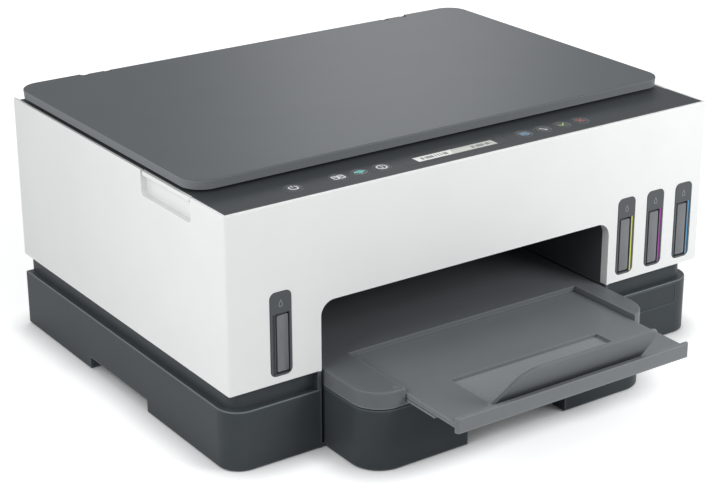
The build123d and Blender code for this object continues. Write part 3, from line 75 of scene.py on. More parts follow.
class Facing(Enum):
    """Which way a flat detail looks: the columns carry its across, up and out axes into the frame."""

    TOP = ((1, 0, 0), (0, 1, 0), (0, 0, 1))
    UNDERSIDE = ((-1, 0, 0), (0, 1, 0), (0, 0, -1))
    FRONT = ((1, 0, 0), (0, 0, -1), (0, 1, 0))
    RIGHT = ((0, 0, 1), (1, 0, 0), (0, 1, 0))


class Pigment(Enum):
    """The four inks: tank place, width of the filled space, ink level, side of the stripe and dye colour."""

    BLACK = (-180.0, 62.0, 112.0, -1, (34, 35, 37))
    YELLOW = (143.4, 22.6, 107.0, 1, (219, 226, 92))
    MAGENTA = (174.0, 22.6, 102.0, 1, (170, 48, 166))
    CYAN = (204.6, 22.6, 110.0, 1, (84, 160, 208))

    def __init__(self, x: float, width: float, level: float, side: int, colour: Rgb) -> None:
        """Keeps the pigment's own values.

        Args:
            x: middle of the tank's window.
            width: width of the filled space.
            level: height of the ink.
            side: -1 where the stripe is left of the pane, 1 where it is right.
            colour: colour of the dye.
        """
        self.x = x
        self.width = width
        self.level = level
        self.side = side
        self.colour = colour

    @property
    def label(self) -> str:
        """Name of the ink as the pieces' names have it."""
        return self.name.lower()


@dataclass
class Shell:
    """Closed surfaces as points, four-sided faces and flat end faces."""

    points: np.ndarray
    quads: np.ndarray
    caps: list[np.ndarray]

    def __add__(self, other: "Shell") -> "Shell":
        """Both surfaces in one, the second's indices moved up by the first's count."""
        step = len(self.points)
        points = np.vstack((self.points, other.points))
        quads = np.vstack((self.quads, other.quads + step))
        return Shell(points, quads, self.caps + [cap + step for cap in other.caps])

    def set(self, facing: Facing, place: Triple = ORIGIN) -> "Shell":
        """The surface with its out axis turned to a facing and its origin moved to a place."""
        turn = np.array(facing.value, float)
        return Shell(self.points @ turn.T + np.array(place), self.quads, self.caps)

    def copies(self, places: Points) -> "Shell":
        """Repeats the surface.

        Args:
            places: one offset a row.

        Returns:
            One surface that holds a copy at each offset.
        """
        places = np.asarray(places, float)
        steps = np.arange(len(places)) * len(self.points)
        points = (self.points[None] + places[:, None]).reshape(-1, 3)
        quads = (self.quads[None] + steps[:, None, None]).reshape(-1, 4)
        return Shell(points, quads, [cap + step for step in steps for cap in self.caps])


def joined(shells: list[Shell]) -> Shell:
    """Adds surfaces into one.

    Args:
        shells: the surfaces, at least one.

    Returns:
        One surface that holds them all.
    """
    whole = shells[0]
    for shell in shells[1:]:
        whole = whole + shell
    return whole


def skin(rings: np.ndarray, loop: bool = False) -> Shell:
    """Joins rings of points into a tube.

    Face (r, k) takes points k and k + 1 of ring r and of ring r + 1, with k counted round the ring. The first
    and last rings become flat ends, unless the rings themselves run round a loop.

    Args:
        rings: array of rings by points by three.
        loop: whether the last ring joins the first.

    Returns:
        The closed surface.
    """
    count, sides = rings.shape[:2]
    index = np.arange(count * sides).reshape(count, sides)
    near = index if loop else index[:-1]
    far = np.roll(index, -1, axis=0) if loop else index[1:]
    quads = np.stack((near, np.roll(near, -1, 1), np.roll(far, -1, 1), far), axis=-1).reshape(-1, 4)
    return Shell(rings.reshape(-1, 3), quads, [] if loop else [index[0][::-1], index[-1]])


def round_rect(width: float, height: float, corner: float, steps: int = 7) -> np.ndarray:
    """Outline of a rectangle with round corners.

    Each corner's centre plus the corner radius times (cos t, sin t), where t runs a quarter turn a corner.

    Args:
        width: size across.
        height: size up.
        corner: corner radius.
        steps: points a corner.

    Returns:
        Array of points by two, anticlockwise.
    """
    t = np.linspace(0, math.pi / 2, steps)[None] + np.arange(4)[:, None] * math.pi / 2
    centre = np.array([(1, 1), (-1, 1), (-1, -1), (1, -1)]) * (width / 2 - corner, height / 2 - corner)
    return (centre[:, None] + corner * np.stack((np.cos(t), np.sin(t)), -1)).reshape(-1, 2)


def drop(width: float, height: float, steps: int = 28) -> np.ndarray:
    """Outline of a drop with its tip up.

    Across is sin t times sin(t / 2) to the power 1.4, and up is cos t, so both meet in a tip at t = 0.

    Args:
        width: size across.
        height: size up.
        steps: points round the outline.

    Returns:
        Array of points by two, anticlockwise.
    """
    t = np.linspace(0, 2 * math.pi, steps, endpoint=False)
    across = np.sin(t) * np.abs(np.sin(t / 2)) ** 1.4
    return np.stack((-across * width / 1.6, np.cos(t) * height / 2), -1)


def drawn_in(outline: np.ndarray, inset: float) -> np.ndarray:
    """Moves an outline inwards along the normals of its chords.

    Args:
        outline: points by two, anticlockwise.
        inset: how far.

    Returns:
        The smaller outline.
    """
    chord = np.roll(outline, -1, 0) - np.roll(outline, 1, 0)
    normal = np.stack((-chord[:, 1], chord[:, 0]), -1)
    return outline + inset * normal / np.linalg.norm(normal, axis=1, keepdims=True)


def plate(outline: np.ndarray, low: float, high: float, bevel: float) -> Shell:
    """Plate of an outline with a bevelled top edge.

    The outline stands at the low level and under the bevel, and is drawn in twice above that.

    Args:
        outline: points by two, anticlockwise.
        low: level of the bottom.
        high: level of the top.
        bevel: width and height of the bevel.

    Returns:
        The closed plate.
    """
    soft = bevel * 0.3
    levels = ((0.0, low), (0.0, high - bevel), (soft, high - soft), (bevel, high))
    level = np.ones(len(outline))
    return skin(np.stack([np.column_stack((drawn_in(outline, inset), z * level)) for inset, z in levels]))


def spokes(steps: int) -> np.ndarray:
    """Unit spokes (cos t, sin t, 0) round the out axis, with t in even steps."""
    t = np.linspace(0, 2 * math.pi, steps, endpoint=False)
    return np.stack((np.cos(t), np.sin(t), np.zeros(steps)), -1)


def turned(profile: Points, steps: int = 24) -> Shell:
    """Carries a profile of radius and level, from the bottom up, round the out axis: radius times spoke."""
    profile = np.asarray(profile, float)
    return skin(profile[:, None, :1] * spokes(steps)[None] + profile[:, None, 1:] * OUT)


def hoop(section: Points, steps: int = 40) -> Shell:
    """Carries a closed section of radius and level round the out axis, so that it ends where it starts."""
    section = np.asarray(section, float)
    return skin(spokes(steps)[:, None] * section[None, :, :1] + section[None, :, 1:] * OUT, loop=True)


def stroke(path: np.ndarray, width: float, low: float, high: float, loop: bool = False) -> Shell:
    """Flat band along a path: at each point half the width to either side of the path, at both levels.

    Args:
        path: points by two.
        width: width of the band.
        low: level of its bottom.
        high: level of its top.
        loop: whether the path ends where it starts.

    Returns:
        The closed band.
    """
    path = np.asarray(path, float)
    step = np.roll(path, -1, 0) - np.roll(path, 1, 0) if loop else np.gradient(path, axis=0)
    side = np.stack((-step[:, 1], step[:, 0]), -1)
    side *= width / 2 / np.linalg.norm(side, axis=1, keepdims=True)
    level = np.ones((len(path), 1))
    corners = ((1, low), (-1, low), (-0.8, high), (0.8, high))
    rings = np.stack([np.hstack((path + s * side, z * level)) for s, z in corners], axis=1)
    return skin(rings, loop)


def line(*ends: Pair) -> np.ndarray:
    """Straight runs between the ends given, with points close to each end so that bands keep their width."""
    ends = np.asarray(ends, float)
    shares = np.array((0.02, 0.5, 0.98))[None, :, None]
    runs = ends[:-1, None] + (ends[1:] - ends[:-1])[:, None] * shares
    return np.vstack((ends[:1], runs.reshape(-1, 2), ends[-1:]))


def arc(radius: float, start: float, end: float, centre: Pair = (0.0, 0.0), steps: int = 24) -> np.ndarray:
    """Part of a circle: the centre plus the radius times (cos t, sin t) from start to end in degrees."""
    t = np.radians(np.linspace(start, end, steps))
    return np.array(centre) + radius * np.stack((np.cos(t), np.sin(t)), -1)


def toothed_loop(half_span: float, radius: float, thickness: float, width: float, pitch: float) -> Shell:
    """Toothed belt round two equal pulleys, with its pulleys' axes along the out axis.

    The path is two straight runs and two half circles, even along its length. The outside stays at the radius
    plus the thickness. The inside steps between the radius and half the thickness with the tooth pitch.

    Args:
        half_span: half the distance between the pulleys.
        radius: inside radius over the teeth's tips.
        thickness: thickness over the teeth.
        width: width of the belt.
        pitch: distance from tooth to tooth.

    Returns:
        The closed belt, centred on the middle of its span and width.
    """
    run, bend = 2 * half_span, math.pi * radius
    length = 2 * (run + bend)
    s = np.arange(0, length, length / (4 * round(length / pitch)))
    turn = np.where(s < run, 0.0, np.where(s < run + bend, (s - run) / radius, np.where(
        s < 2 * run + bend, math.pi, math.pi + (s - 2 * run - bend) / radius)))
    along = np.where(s < run, s - half_span, np.where(s < run + bend, half_span, np.where(
        s < 2 * run + bend, half_span - (s - run - bend), -half_span)))
    out = np.stack((np.sin(turn), np.cos(turn)), -1)
    middle = np.stack((along, np.zeros_like(along)), -1)
    tooth = np.where(np.arange(len(s)) % 4 < 2, 0.0, thickness * 0.5)
    inside = middle + out * (radius + tooth)[:, None]
    outside = middle + out * (radius + thickness)
    level = np.full((len(s), 1), width / 2)
    rings = ((inside, -level), (inside, level), (outside, level), (outside, -level))
    return skin(np.stack([np.hstack((p, z)) for p, z in rings], axis=1), loop=True)


def linear(colour: Rgb, factor: float = 1.0) -> Rgba:
    """Colour for a node socket: 0 to 255 as seen on a screen, made linear and multiplied.

    Args:
        colour: red, green and blue from 0 to 255.
        factor: share of the linear colour.

    Returns:
        Linear red, green, blue and full opacity.
    """
    c = np.array(colour, float) / 255
    flat = np.where(c <= 0.04045, c / 12.92, ((c + 0.055) / 1.055) ** 2.4) * factor
    return (*np.clip(flat, 0, 1).tolist(), 1.0)


def add_node(tree: bpy.types.NodeTree, kind: str, inputs: dict | None = None,
             **settings: object) -> bpy.types.Node:
    """Adds a node, sets it up and fills its inputs.

    Args:
        tree: node tree to work in.
        kind: type of the node.
        inputs: by name or number, a socket to link or a value to hold.
        settings: the node's own settings.

    Returns:
        The node.
    """
    made = tree.nodes.new(kind)
    for key, value in settings.items():
        setattr(made, key, value)
    for key, value in (inputs or {}).items():
        if isinstance(value, Socket):
            tree.links.new(value, made.inputs[key])
        else:
            made.inputs[key].default_value = value
    return made


def put(name: str, data: bpy.types.ID) -> bpy.types.Object:
    """New object in the scene, at the origin."""
    made = bpy.data.objects.new(name, data)
    bpy.context.scene.collection.objects.link(made)
    return made


class NodeSheet:
    """Node tree of one material, with short calls for what the finishes share."""

    def __init__(self, name: str) -> None:
        """Makes the material and its Object coordinates.

        Args:
            name: name of the material.
        """
        self.material = bpy.data.materials.new(name)
        self.material.use_nodes = True
        self.tree = self.material.node_tree
        self.shader = self.tree.nodes["Principled BSDF"]
        self.place = self.node("ShaderNodeTexCoord").outputs["Object"]

    def node(self, kind: str, inputs: dict | None = None, **settings: object) -> bpy.types.Node:
        """New node of this material."""
        return add_node(self.tree, kind, inputs, **settings)

    def fix(self, **values: object) -> None:
        """Sets the shader's own sockets; underscores stand for spaces."""
        for key, value in values.items():
            self.shader.inputs[key.replace("_", " ")].default_value = value

    def feed(self, socket: str, source: Socket) -> None:
        """Links a pattern to one of the shader's sockets."""
        self.tree.links.new(source, self.shader.inputs[socket])

    def stretched(self, scale: Triple) -> Socket:
        """Object coordinates drawn out by a scale on each axis."""
        return self.node("ShaderNodeMapping", {"Scale": scale, "Vector": self.place}).outputs["Vector"]

    def noise(self, size: float, detail: float = 2.0, vector: Socket | None = None) -> Socket:
        """Noise with features of about the size in millimetres."""
        inputs = {"Scale": 1 / (size * MM), "Detail": detail, "Vector": vector or self.place}
        return self.node("ShaderNodeTexNoise", inputs).outputs["Fac"]

    def cells(self, size: float) -> Socket:
        """Distance to the middle of round cells of about the size in millimetres."""
        inputs = {"Scale": 1 / (size * MM), "Vector": self.place}
        return self.node("ShaderNodeTexVoronoi", inputs).outputs["Distance"]

    def ramp(self, value: Socket, stops: list[tuple[float, Rgba]], steps: bool = False) -> Socket:
        """Colours along a value.

        Args:
            value: what picks the colour.
            stops: place and linear colour of each stop, in order.
            steps: whether the colours change at once.

        Returns:
            The colour.
        """
        made = self.node("ShaderNodeValToRGB", {"Fac": value})
        ramp = made.color_ramp
        ramp.interpolation = "CONSTANT" if steps else "LINEAR"
        for place, _ in stops[2:]:
            ramp.elements.new(place)
        for element, (place, colour) in zip(ramp.elements, stops):
            element.position = place
            element.color = colour
        return made.outputs["Color"]

    def shade(self, value: Socket, colour: Rgb, low: float, high: float, ends: Pair = (0.3, 0.7)) -> Socket:
        """Colour whose brightness passes from a low to a high factor between two ends of a value."""
        return self.ramp(value, [(ends[0], linear(colour, low)), (ends[1], linear(colour, high))])

    def span(self, value: Socket, low: float, high: float, start: float = 0.0, end: float = 1.0) -> Socket:
        """Value carried from start and end to low and high, and held there."""
        inputs = {"From Min": start, "From Max": end, "To Min": low, "To Max": high, "Value": value}
        return self.node("ShaderNodeMapRange", inputs).outputs["Result"]

    def axis(self, letter: str) -> Socket:
        """One of the Object coordinates."""
        return self.node("ShaderNodeSeparateXYZ", {"Vector": self.place}).outputs[letter]

    def sum(self, kind: str, a: Socket, b: Socket | float = 0.0) -> Socket:
        """Two values put together by a kind of arithmetic."""
        return self.node("ShaderNodeMath", {0: a, 1: b}, operation=kind).outputs["Value"]

    def off(self, value: Socket, middle: float) -> Socket:
        """How far a value is from a middle, either way."""
        return self.sum("ABSOLUTE", self.sum("SUBTRACT", value, middle))

    def edges(self, reach: float, hollow: bool = False) -> Socket:
        """Value that rises from nought to one at outer edges, or in hollows, within a reach."""
        outer = not hollow
        near = self.node("ShaderNodeAmbientOcclusion", {"Distance": reach * MM}, samples=8, inside=outer,
                         only_local=outer)
        return self.span(near.outputs["AO"], 1.0, 0.0)

    def blend(self, share: Socket, low: Socket, high: Rgba) -> Socket:
        """Colour that passes from a socket's to a fixed one with a share from nought to one."""
        return self.node("ShaderNodeMix", {0: share, 6: low, 7: high}, data_type="RGBA").outputs[2]

    def relief(self, height: Socket, strength: float, depth: float) -> None:
        """Bump of a depth in millimetres on the shader."""
        inputs = {"Strength": strength, "Distance": depth * MM, "Height": height}
        self.feed("Normal", self.node("ShaderNodeBump", inputs).outputs["Normal"])


class Finish(Protocol):
    """What a piece can be finished with."""

    name: str

    def material(self) -> Material:
        """Makes the material."""


@dataclass(frozen=True)
class MouldedPlastic:
    """Moulded plastic with a fine spark-eroded grain, a slow drift of shade and a satin gloss."""

    name: str
    colour: Rgb
    roughness: float = 0.45
    grain: float = 0.5
    relief: float = 0.18
    drift: float = 0.03
    gloss: float = 0.5
    # The next three are: pale outer edges, partly wear and partly painted highlight; painted shade in
    # hollows; and the level of a painted highlight line.
    worn: float = 0.0
    hollow_shade: float = 0.0
    painted_highlight_z: float = 0.0

    def material(self) -> Material:
        """Colour drifts with slow noise, pales on outer edges as wear and painted highlight, and darkens in
        hollows as painted shade; the grain gives the bump.

        A painted highlight, a pale band along a rounded edge, is picked by its level along Z.

        Returns:
            The material.
        """
        sheet = NodeSheet(self.name)
        colour = sheet.shade(sheet.noise(DRIFT_SIZE, 3.0), self.colour, 1 - self.drift, 1 + self.drift)
        # Outer edges paled: partly wear, partly a painted highlight.
        if self.worn:
            colour = sheet.blend(sheet.edges(WEAR_AND_HIGHLIGHT_REACH), colour, linear(self.colour, 1 + self.worn))
        # Painted highlight: a pale band at one level along Z.
        if self.painted_highlight_z:
            off = sheet.off(sheet.axis("Z"), self.painted_highlight_z * MM)
            band = sheet.span(off, 1.0, 0.0, PAINTED_HIGHLIGHT_BAND[0] * MM, PAINTED_HIGHLIGHT_BAND[1] * MM)
            colour = sheet.blend(band, colour, linear(self.colour, PAINTED_HIGHLIGHT_FACTOR))
        # Hollows darkened: painted shade.
        if self.hollow_shade:
            colour = sheet.blend(sheet.edges(HOLLOW_REACH, True), colour, linear(self.colour, 1 - self.hollow_shade))
        sheet.feed("Base Color", colour)
        fine = sheet.noise(self.grain)
        sheet.feed("Roughness", sheet.span(fine, self.roughness - 0.06, self.roughness + 0.06))
        sheet.relief(fine, self.relief, GRAIN_DEPTH)
        sheet.fix(Specular_IOR_Level=self.gloss)
        return sheet.material


@dataclass(frozen=True)
class RimmedPlastic:
    """Grained plastic whose sides, below a level, are moulded smoother and painted paler: painted light, the
    sides brighter than the top and a painted highlight along the top edge.
    """

    name: str
    colour: Rgb
    rim: Rgb
    level: float

    def material(self) -> Material:
        """A short ramp over Z passes from the sides' colour, which is painted light, to the top's; the grain
        fades with it.
        """
        sheet = NodeSheet(self.name)
        top = sheet.span(sheet.axis("Z"), 0.0, 1.0, (self.level - 0.2) * MM, (self.level + 0.2) * MM)
        grained = sheet.shade(sheet.noise(DRIFT_SIZE, 3.0), self.colour, 0.97, 1.03)
        colour = sheet.blend(sheet.span(top, 1.0, 0.0), grained, linear(self.rim))
        # Outer edges paled further: a painted highlight.
        sheet.feed("Base Color", sheet.blend(sheet.edges(1.2), colour, linear(self.rim, 1.25)))
        fine = sheet.noise(0.5)
        sheet.feed("Roughness", sheet.span(fine, 0.38, 0.46))
        sheet.relief(sheet.sum("MULTIPLY", fine, top), 0.12, GRAIN_DEPTH)
        sheet.fix(Specular_IOR_Level=0.1, Specular_Tint=(0.9, 0.96, 1.0, 1.0))
        return sheet.material


@dataclass(frozen=True)
class ClearPlastic:
    """See-through plastic, from milky to clear, with faint flow marks."""

    name: str
    colour: Rgb
    roughness: float
    clear: float
    bend: float = 1.49

    def material(self) -> Material:
        """Transmission set on the shader; colour and roughness drift with flow noise."""
        sheet = NodeSheet(self.name)
        flow = sheet.noise(9.0, 2.0, sheet.stretched((1.0, 1.0, 0.25)))
        sheet.feed("Base Color", sheet.shade(flow, self.colour, 0.94, 1.04))
        sheet.feed("Roughness", sheet.span(flow, self.roughness * 0.8, self.roughness * 1.2))
        sheet.relief(flow, 0.05, 0.05)
        sheet.fix(Transmission_Weight=self.clear, IOR=self.bend)
        return sheet.material


@dataclass(frozen=True)
class Metal:
    """Bare metal with drawn lines along X and small spangles."""

    name: str
    colour: Rgb
    roughness: float
    spangle: float = 0.06

    def material(self) -> Material:
        """Long noise gives the drawn lines; cell noise gives the spangles."""
        sheet = NodeSheet(self.name)
        drawn = sheet.noise(0.7, 3.0, sheet.stretched((0.02, 1.0, 1.0)))
        spangles = sheet.shade(sheet.cells(5.0), self.colour, 1 + self.spangle, 1 - self.spangle, (0.1, 0.9))
        sheet.feed("Base Color", spangles)
        sheet.feed("Roughness", sheet.span(drawn, self.roughness - 0.1, self.roughness + 0.12))
        sheet.relief(drawn, 0.1, 0.02)
        sheet.fix(Metallic=1.0)
        return sheet.material


@dataclass(frozen=True)
class Rubber:
    """Matt rubber with a pale, dust-like bloom."""

    name: str
    colour: Rgb = (30, 30, 31)

    def material(self) -> Material:
        """A pale bloom follows slow noise; the bump is a fine moulded skin."""
        sheet = NodeSheet(self.name)
        bloom = sheet.noise(12.0, 4.0)
        sheet.feed("Base Color", sheet.shade(bloom, self.colour, 1.0, 1.7, (0.35, 0.8)))
        sheet.feed("Roughness", sheet.span(bloom, 0.68, 0.86))
        sheet.relief(sheet.noise(0.4), 0.3, 0.05)
        return sheet.material


@dataclass(frozen=True)
class RollerFinish:
    """Steel shaft with rubber sleeves: what lies further from the axis than the shaft is rubber."""

    name: str
    axis_y: float
    axis_z: float = 75.0
    shaft: float = 3.0
    steel: Rgb = (180, 182, 184)
    rubber: Rgb = (38, 38, 40)

    def material(self) -> Material:
        """The distance from the axis, the root of y squared plus z squared, picks rubber or steel."""
        sheet = NodeSheet(self.name)
        y = sheet.sum("SUBTRACT", sheet.axis("Y"), self.axis_y * MM)
        z = sheet.sum("SUBTRACT", sheet.axis("Z"), self.axis_z * MM)
        square = sheet.sum("ADD", sheet.sum("MULTIPLY", y, y), sheet.sum("MULTIPLY", z, z))
        sleeve = sheet.sum("GREATER_THAN", square, ((self.shaft + 0.3) * MM) ** 2)
        stops = [(0.0, linear(self.steel)), (0.5, linear(self.rubber))]
        sheet.feed("Base Color", sheet.ramp(sleeve, stops, True))
        sheet.feed("Metallic", sheet.span(sleeve, 1.0, 0.0))
        grit = sheet.noise(0.5, 3.0)
        worn = sheet.sum("ADD", sheet.sum("MULTIPLY", grit, 0.15), 0.22)
        sheet.feed("Roughness", sheet.sum("ADD", sheet.sum("MULTIPLY", sleeve, 0.4), worn))
        sheet.relief(grit, 0.25, 0.05)
        return sheet.material


@dataclass(frozen=True)
class CircuitBoard:
    """Solder mask with copper runs under it and tinned pads."""

    name: str
    colour: Rgb = (28, 98, 62)
    tin: Rgb = (186, 178, 150)

    def material(self) -> Material:
        """The joints of a brick pattern give the runs, and small cells the pads."""
        sheet = NodeSheet(self.name)
        turn = (0.0, math.pi / 2, 0.0)
        upright = sheet.node("ShaderNodeMapping", {"Rotation": turn, "Vector": sheet.place})
        runs = sheet.node("ShaderNodeTexBrick", {
            "Scale": 1 / (22 * MM), "Color1": linear(self.colour), "Color2": linear(self.colour, 0.8),
            "Mortar": linear(self.colour, 1.6), "Mortar Size": 0.02, "Vector": upright.outputs["Vector"],
        }, offset=0.37, squash=0.6)
        pads = sheet.sum("LESS_THAN", sheet.cells(4.5), 0.2)
        sheet.feed("Base Color", sheet.blend(pads, runs.outputs["Color"], linear(self.tin)))
        sheet.feed("Roughness", sheet.span(pads, 0.4, 0.28))
        sheet.relief(pads, 0.3, 0.06)
        return sheet.material


@dataclass(frozen=True)
class Foam:
    """White pressed foam with open cells under a thin film."""

    name: str
    colour: Rgb = (236, 236, 234)

    def material(self) -> Material:
        """Small round cells give the bump, slow noise the soft stains."""
        sheet = NodeSheet(self.name)
        sheet.feed("Base Color", sheet.shade(sheet.noise(40.0, 3.0), self.colour, 0.93, 1.0))
        cells = sheet.cells(1.6)
        sheet.feed("Roughness", sheet.span(cells, 0.6, 0.8))
        sheet.relief(cells, 0.25, 0.15)
        return sheet.material


@dataclass(frozen=True)
class LevelStripes:
    """Dyed stripes beside the panes, each in the colour of the tank that stands there."""

    name: str
    half: float = 250.0

    def material(self) -> Material:
        """Steps along X, halfway between the tanks, pick the dye; fine noise dulls the gloss."""
        sheet = NodeSheet(self.name)
        inks = list(Pigment)
        bounds = [-self.half] + [(a.x + b.x) / 2 + 4 for a, b in zip(inks, inks[1:])]
        shares = [(edge + self.half) / (2 * self.half) for edge in bounds]
        stops = [(share, linear(ink.colour)) for share, ink in zip(shares, inks)]
        where = sheet.span(sheet.axis("X"), 0.0, 1.0, -self.half * MM, self.half * MM)
        sheet.feed("Base Color", sheet.ramp(where, stops, True))
        fine = sheet.noise(0.8)
        sheet.feed("Roughness", sheet.span(fine, 0.22, 0.36))
        sheet.relief(fine, 0.05, 0.02)
        return sheet.material


@dataclass(frozen=True)
class DisplayFace:
    """Reflective liquid-crystal face: a bright and a dull field, with dark blocks at each end."""

    name: str
    left: float = -49.9
    width: float = 73.0
    low: float = -83.4
    depth: float = 9.5
    columns: float = 58.0
    filled: float = 0.74
    bright: Rgb = (236, 239, 235)
    dull: Rgb = (198, 204, 194)
    block: Rgb = (108, 114, 110)

    def material(self) -> Material:
        """Whole steps along the face draw the blocks near its ends; a slanted step parts the two fields."""
        sheet = NodeSheet(self.name)
        across = sheet.span(sheet.axis("X"), 0.0, 1.0, self.left * MM, (self.left + self.width) * MM)
        up = sheet.span(sheet.axis("Y"), 0.0, 1.0, self.low * MM, (self.low + self.depth) * MM)
        column = sheet.sum("FLOOR", sheet.sum("MULTIPLY", across, self.columns))
        chance = sheet.node("ShaderNodeTexWhiteNoise", {"W": column}, noise_dimensions="1D")
        lit = sheet.sum("LESS_THAN", chance.outputs["Value"], self.filled)
        row = sheet.sum("MULTIPLY", sheet.sum("GREATER_THAN", up, 0.26), sheet.sum("LESS_THAN", up, 0.72))
        ends = sheet.sum("GREATER_THAN", sheet.off(across, 0.55), 0.15)
        inner = sheet.sum("LESS_THAN", sheet.off(across, 0.5), 0.46)
        block = sheet.sum("MULTIPLY", sheet.sum("MULTIPLY", lit, row), sheet.sum("MULTIPLY", ends, inner))
        slant = sheet.sum("ADD", across, sheet.sum("MULTIPLY", up, -0.06))
        fields = sheet.ramp(slant, [(0.0, linear(self.bright)), (0.42, linear(self.dull))], True)
        sheet.feed("Base Color", sheet.blend(block, fields, linear(self.block)))
        sheet.feed("Roughness", sheet.span(sheet.noise(0.5), 0.3, 0.4))
        sheet.fix(Specular_IOR_Level=0.2)
        return sheet.material


def mark(name: str, colour: Rgb) -> MouldedPlastic:
    """Printed mark: a flat skin with hardly any grain."""
    return MouldedPlastic(name, colour, 0.5, 0.3, 0.05)


# Pale outer edges on these plastics are partly wear and partly a painted highlight.
# After the colour come roughness, grain size in millimetres, relief and drift of shade
# The white's darker hollows are painted shade.
WHITE = MouldedPlastic("white_casing_plastic", (240, 242, 241), 0.42, 0.45, 0.12, 0.012, worn=0.12, hollow_shade=0.3)
# The base's pale band at one level is a painted highlight line.
BASE_DARK = MouldedPlastic("charcoal_base_plastic", (68, 73, 76), 0.38, 0.6, 0.2,
                           gloss=0.08, worn=2.5, painted_highlight_z=46.85)
DECK_DARK = MouldedPlastic("charcoal_deck_plastic", (67, 71, 74), 0.5, gloss=0.06, worn=0.8)
# The lid's paler side colour is painted light on its sides and top edge.
LID_SLATE = RimmedPlastic("slate_lid_plastic", (75, 81, 86), (118, 122, 125), 206.7)
TRAY_DARK = MouldedPlastic("charcoal_tray_plastic", (64, 69, 72), 0.38, 0.6, 0.2, gloss=0.08, worn=2.5)
TRAY_GREY = MouldedPlastic("grey_tray_plastic", (108, 112, 115), 0.46, 0.6, gloss=0.12, worn=0.8)
PLATE_GREY = MouldedPlastic("pale_grey_plate_plastic", (122, 126, 129), 0.44, 0.6, gloss=0.2, worn=0.6)
STOP_GREY = MouldedPlastic("grey_stop_plastic", (104, 108, 111), 0.42, 0.5, 0.15, gloss=0.2, worn=0.6)
LINER = MouldedPlastic("liner_plastic", (76, 80, 83), 0.5, 0.7, 0.25, 0.04, gloss=0.25)
BLACK = MouldedPlastic("black_inner_plastic", (36, 37, 39), 0.5, 0.8, 0.3, 0.08, gloss=0.3)
BEZEL = MouldedPlastic("dark_bezel_plastic", (80, 84, 87), 0.42, 0.4, 0.12, gloss=0.3)
BUTTON = MouldedPlastic("button_plastic", (60, 64, 67), 0.45, 0.4, 0.12, gloss=0.15)
GUIDE = MouldedPlastic("guide_plastic", (84, 88, 92), 0.42, 0.6, 0.15)
CHANNEL = MouldedPlastic("channel_black", (16, 17, 18), 0.5, 0.5, 0.1, 0.05)
PANE = ClearPlastic("smoked_pane", (110, 113, 116), 0.22, 0.0)
TANK = ClearPlastic("milky_tank", (226, 230, 232), 0.3, 0.55)
SCAN_GLASS = ClearPlastic("scan_glass", (226, 238, 236), 0.01, 0.94, 1.52)
LENS = ClearPlastic("scan_lens", (232, 238, 240), 0.1, 0.6, 1.5)
STEEL = Metal("drawn_steel", (196, 198, 200), 0.3)
SHEET_METAL = Metal("zinc_sheet", (178, 182, 185), 0.42, 0.12)
RUBBER = Rubber("black_rubber")
BOARD = CircuitBoard("board_mask")
FOAM = Foam("lid_foam")
STRIPES = LevelStripes("level_dyes")
DISPLAY = DisplayFace("display_face")
FEED_ROLLER = RollerFinish("feed_roller_skin", 145.094)
OUTPUT_ROLLER = RollerFinish("output_roller_skin", 54.094)
RING_GREY = MouldedPlastic("ring_grey", (136, 140, 143), 0.35, 0.4, 0.08)
MARK_GREY = mark("mark_grey", (150, 154, 156))
MARK_FAINT = mark("mark_faint", (117, 121, 124))
MARK_WHITE = mark("mark_white", (232, 234, 235))
MARK_TEAL = mark("mark_teal", (96, 220, 210))
MARK_BLUE = mark("mark_blue", (96, 144, 176))
MARK_GREEN = mark("mark_green", (172, 208, 112))
MARK_RED = mark("mark_red", (196, 72, 74))
INKS = {ink: MouldedPlastic(f"{ink.label}_ink", ink.colour, 0.12, 4.0, 0.03) for ink in Pigment}
CAPS = {ink: MouldedPlastic(f"{ink.label}_cap_plastic", ink.colour, 0.42, 0.5, 0.15) for ink in Pigment}

DRESSED: tuple[tuple[Finish, str], ...] = (
    (BASE_DARK, "base_casing rear_panel rear_door"), (WHITE, "upper_casing grip_lips"), (LINER, "bay_liner"),
    (DECK_DARK, "scanner_deck"), (LID_SLATE, "lid_shell"), (FOAM, "lid_backing"), (DISPLAY, "display_window"),
    (TRAY_DARK, "tray_body"), (TRAY_GREY, "output_deck"), (PLATE_GREY, "tray_extension"),
    (STOP_GREY, "paper_stop"), (BEZEL, "ink_bezels"), (PANE, "ink_windows"), (STRIPES, "ink_markers"),
    (TANK, "ink_tanks"),
    (SCAN_GLASS, "scan_glass"), (FEED_ROLLER, "feed_roller"), (OUTPUT_ROLLER, "output_roller"),
    (SHEET_METAL, "print_frame carriage_frame"), (BOARD, "main_board control_board"),
    (RUBBER, "rubber_feet feed_belt carriage_belt pick_roller"),
    (STEEL, "carriage_rod motors printheads motor_pulley star_wheels"),
    (GUIDE, "left_width_guide right_width_guide guide_pinion length_guide idler_pulley"),
    (BLACK, "platen paper_guide service_station power_supply rear_sockets scanner_tub scan_bar carriage_shell"
            " pick_arm"),
    (BUTTON, "power_button document_button wireless_button info_button ink_button paper_button confirm_button"
             " cancel_button"),
    *((CAPS[ink], f"{ink.label}_tank_cap") for ink in Pigment),
)


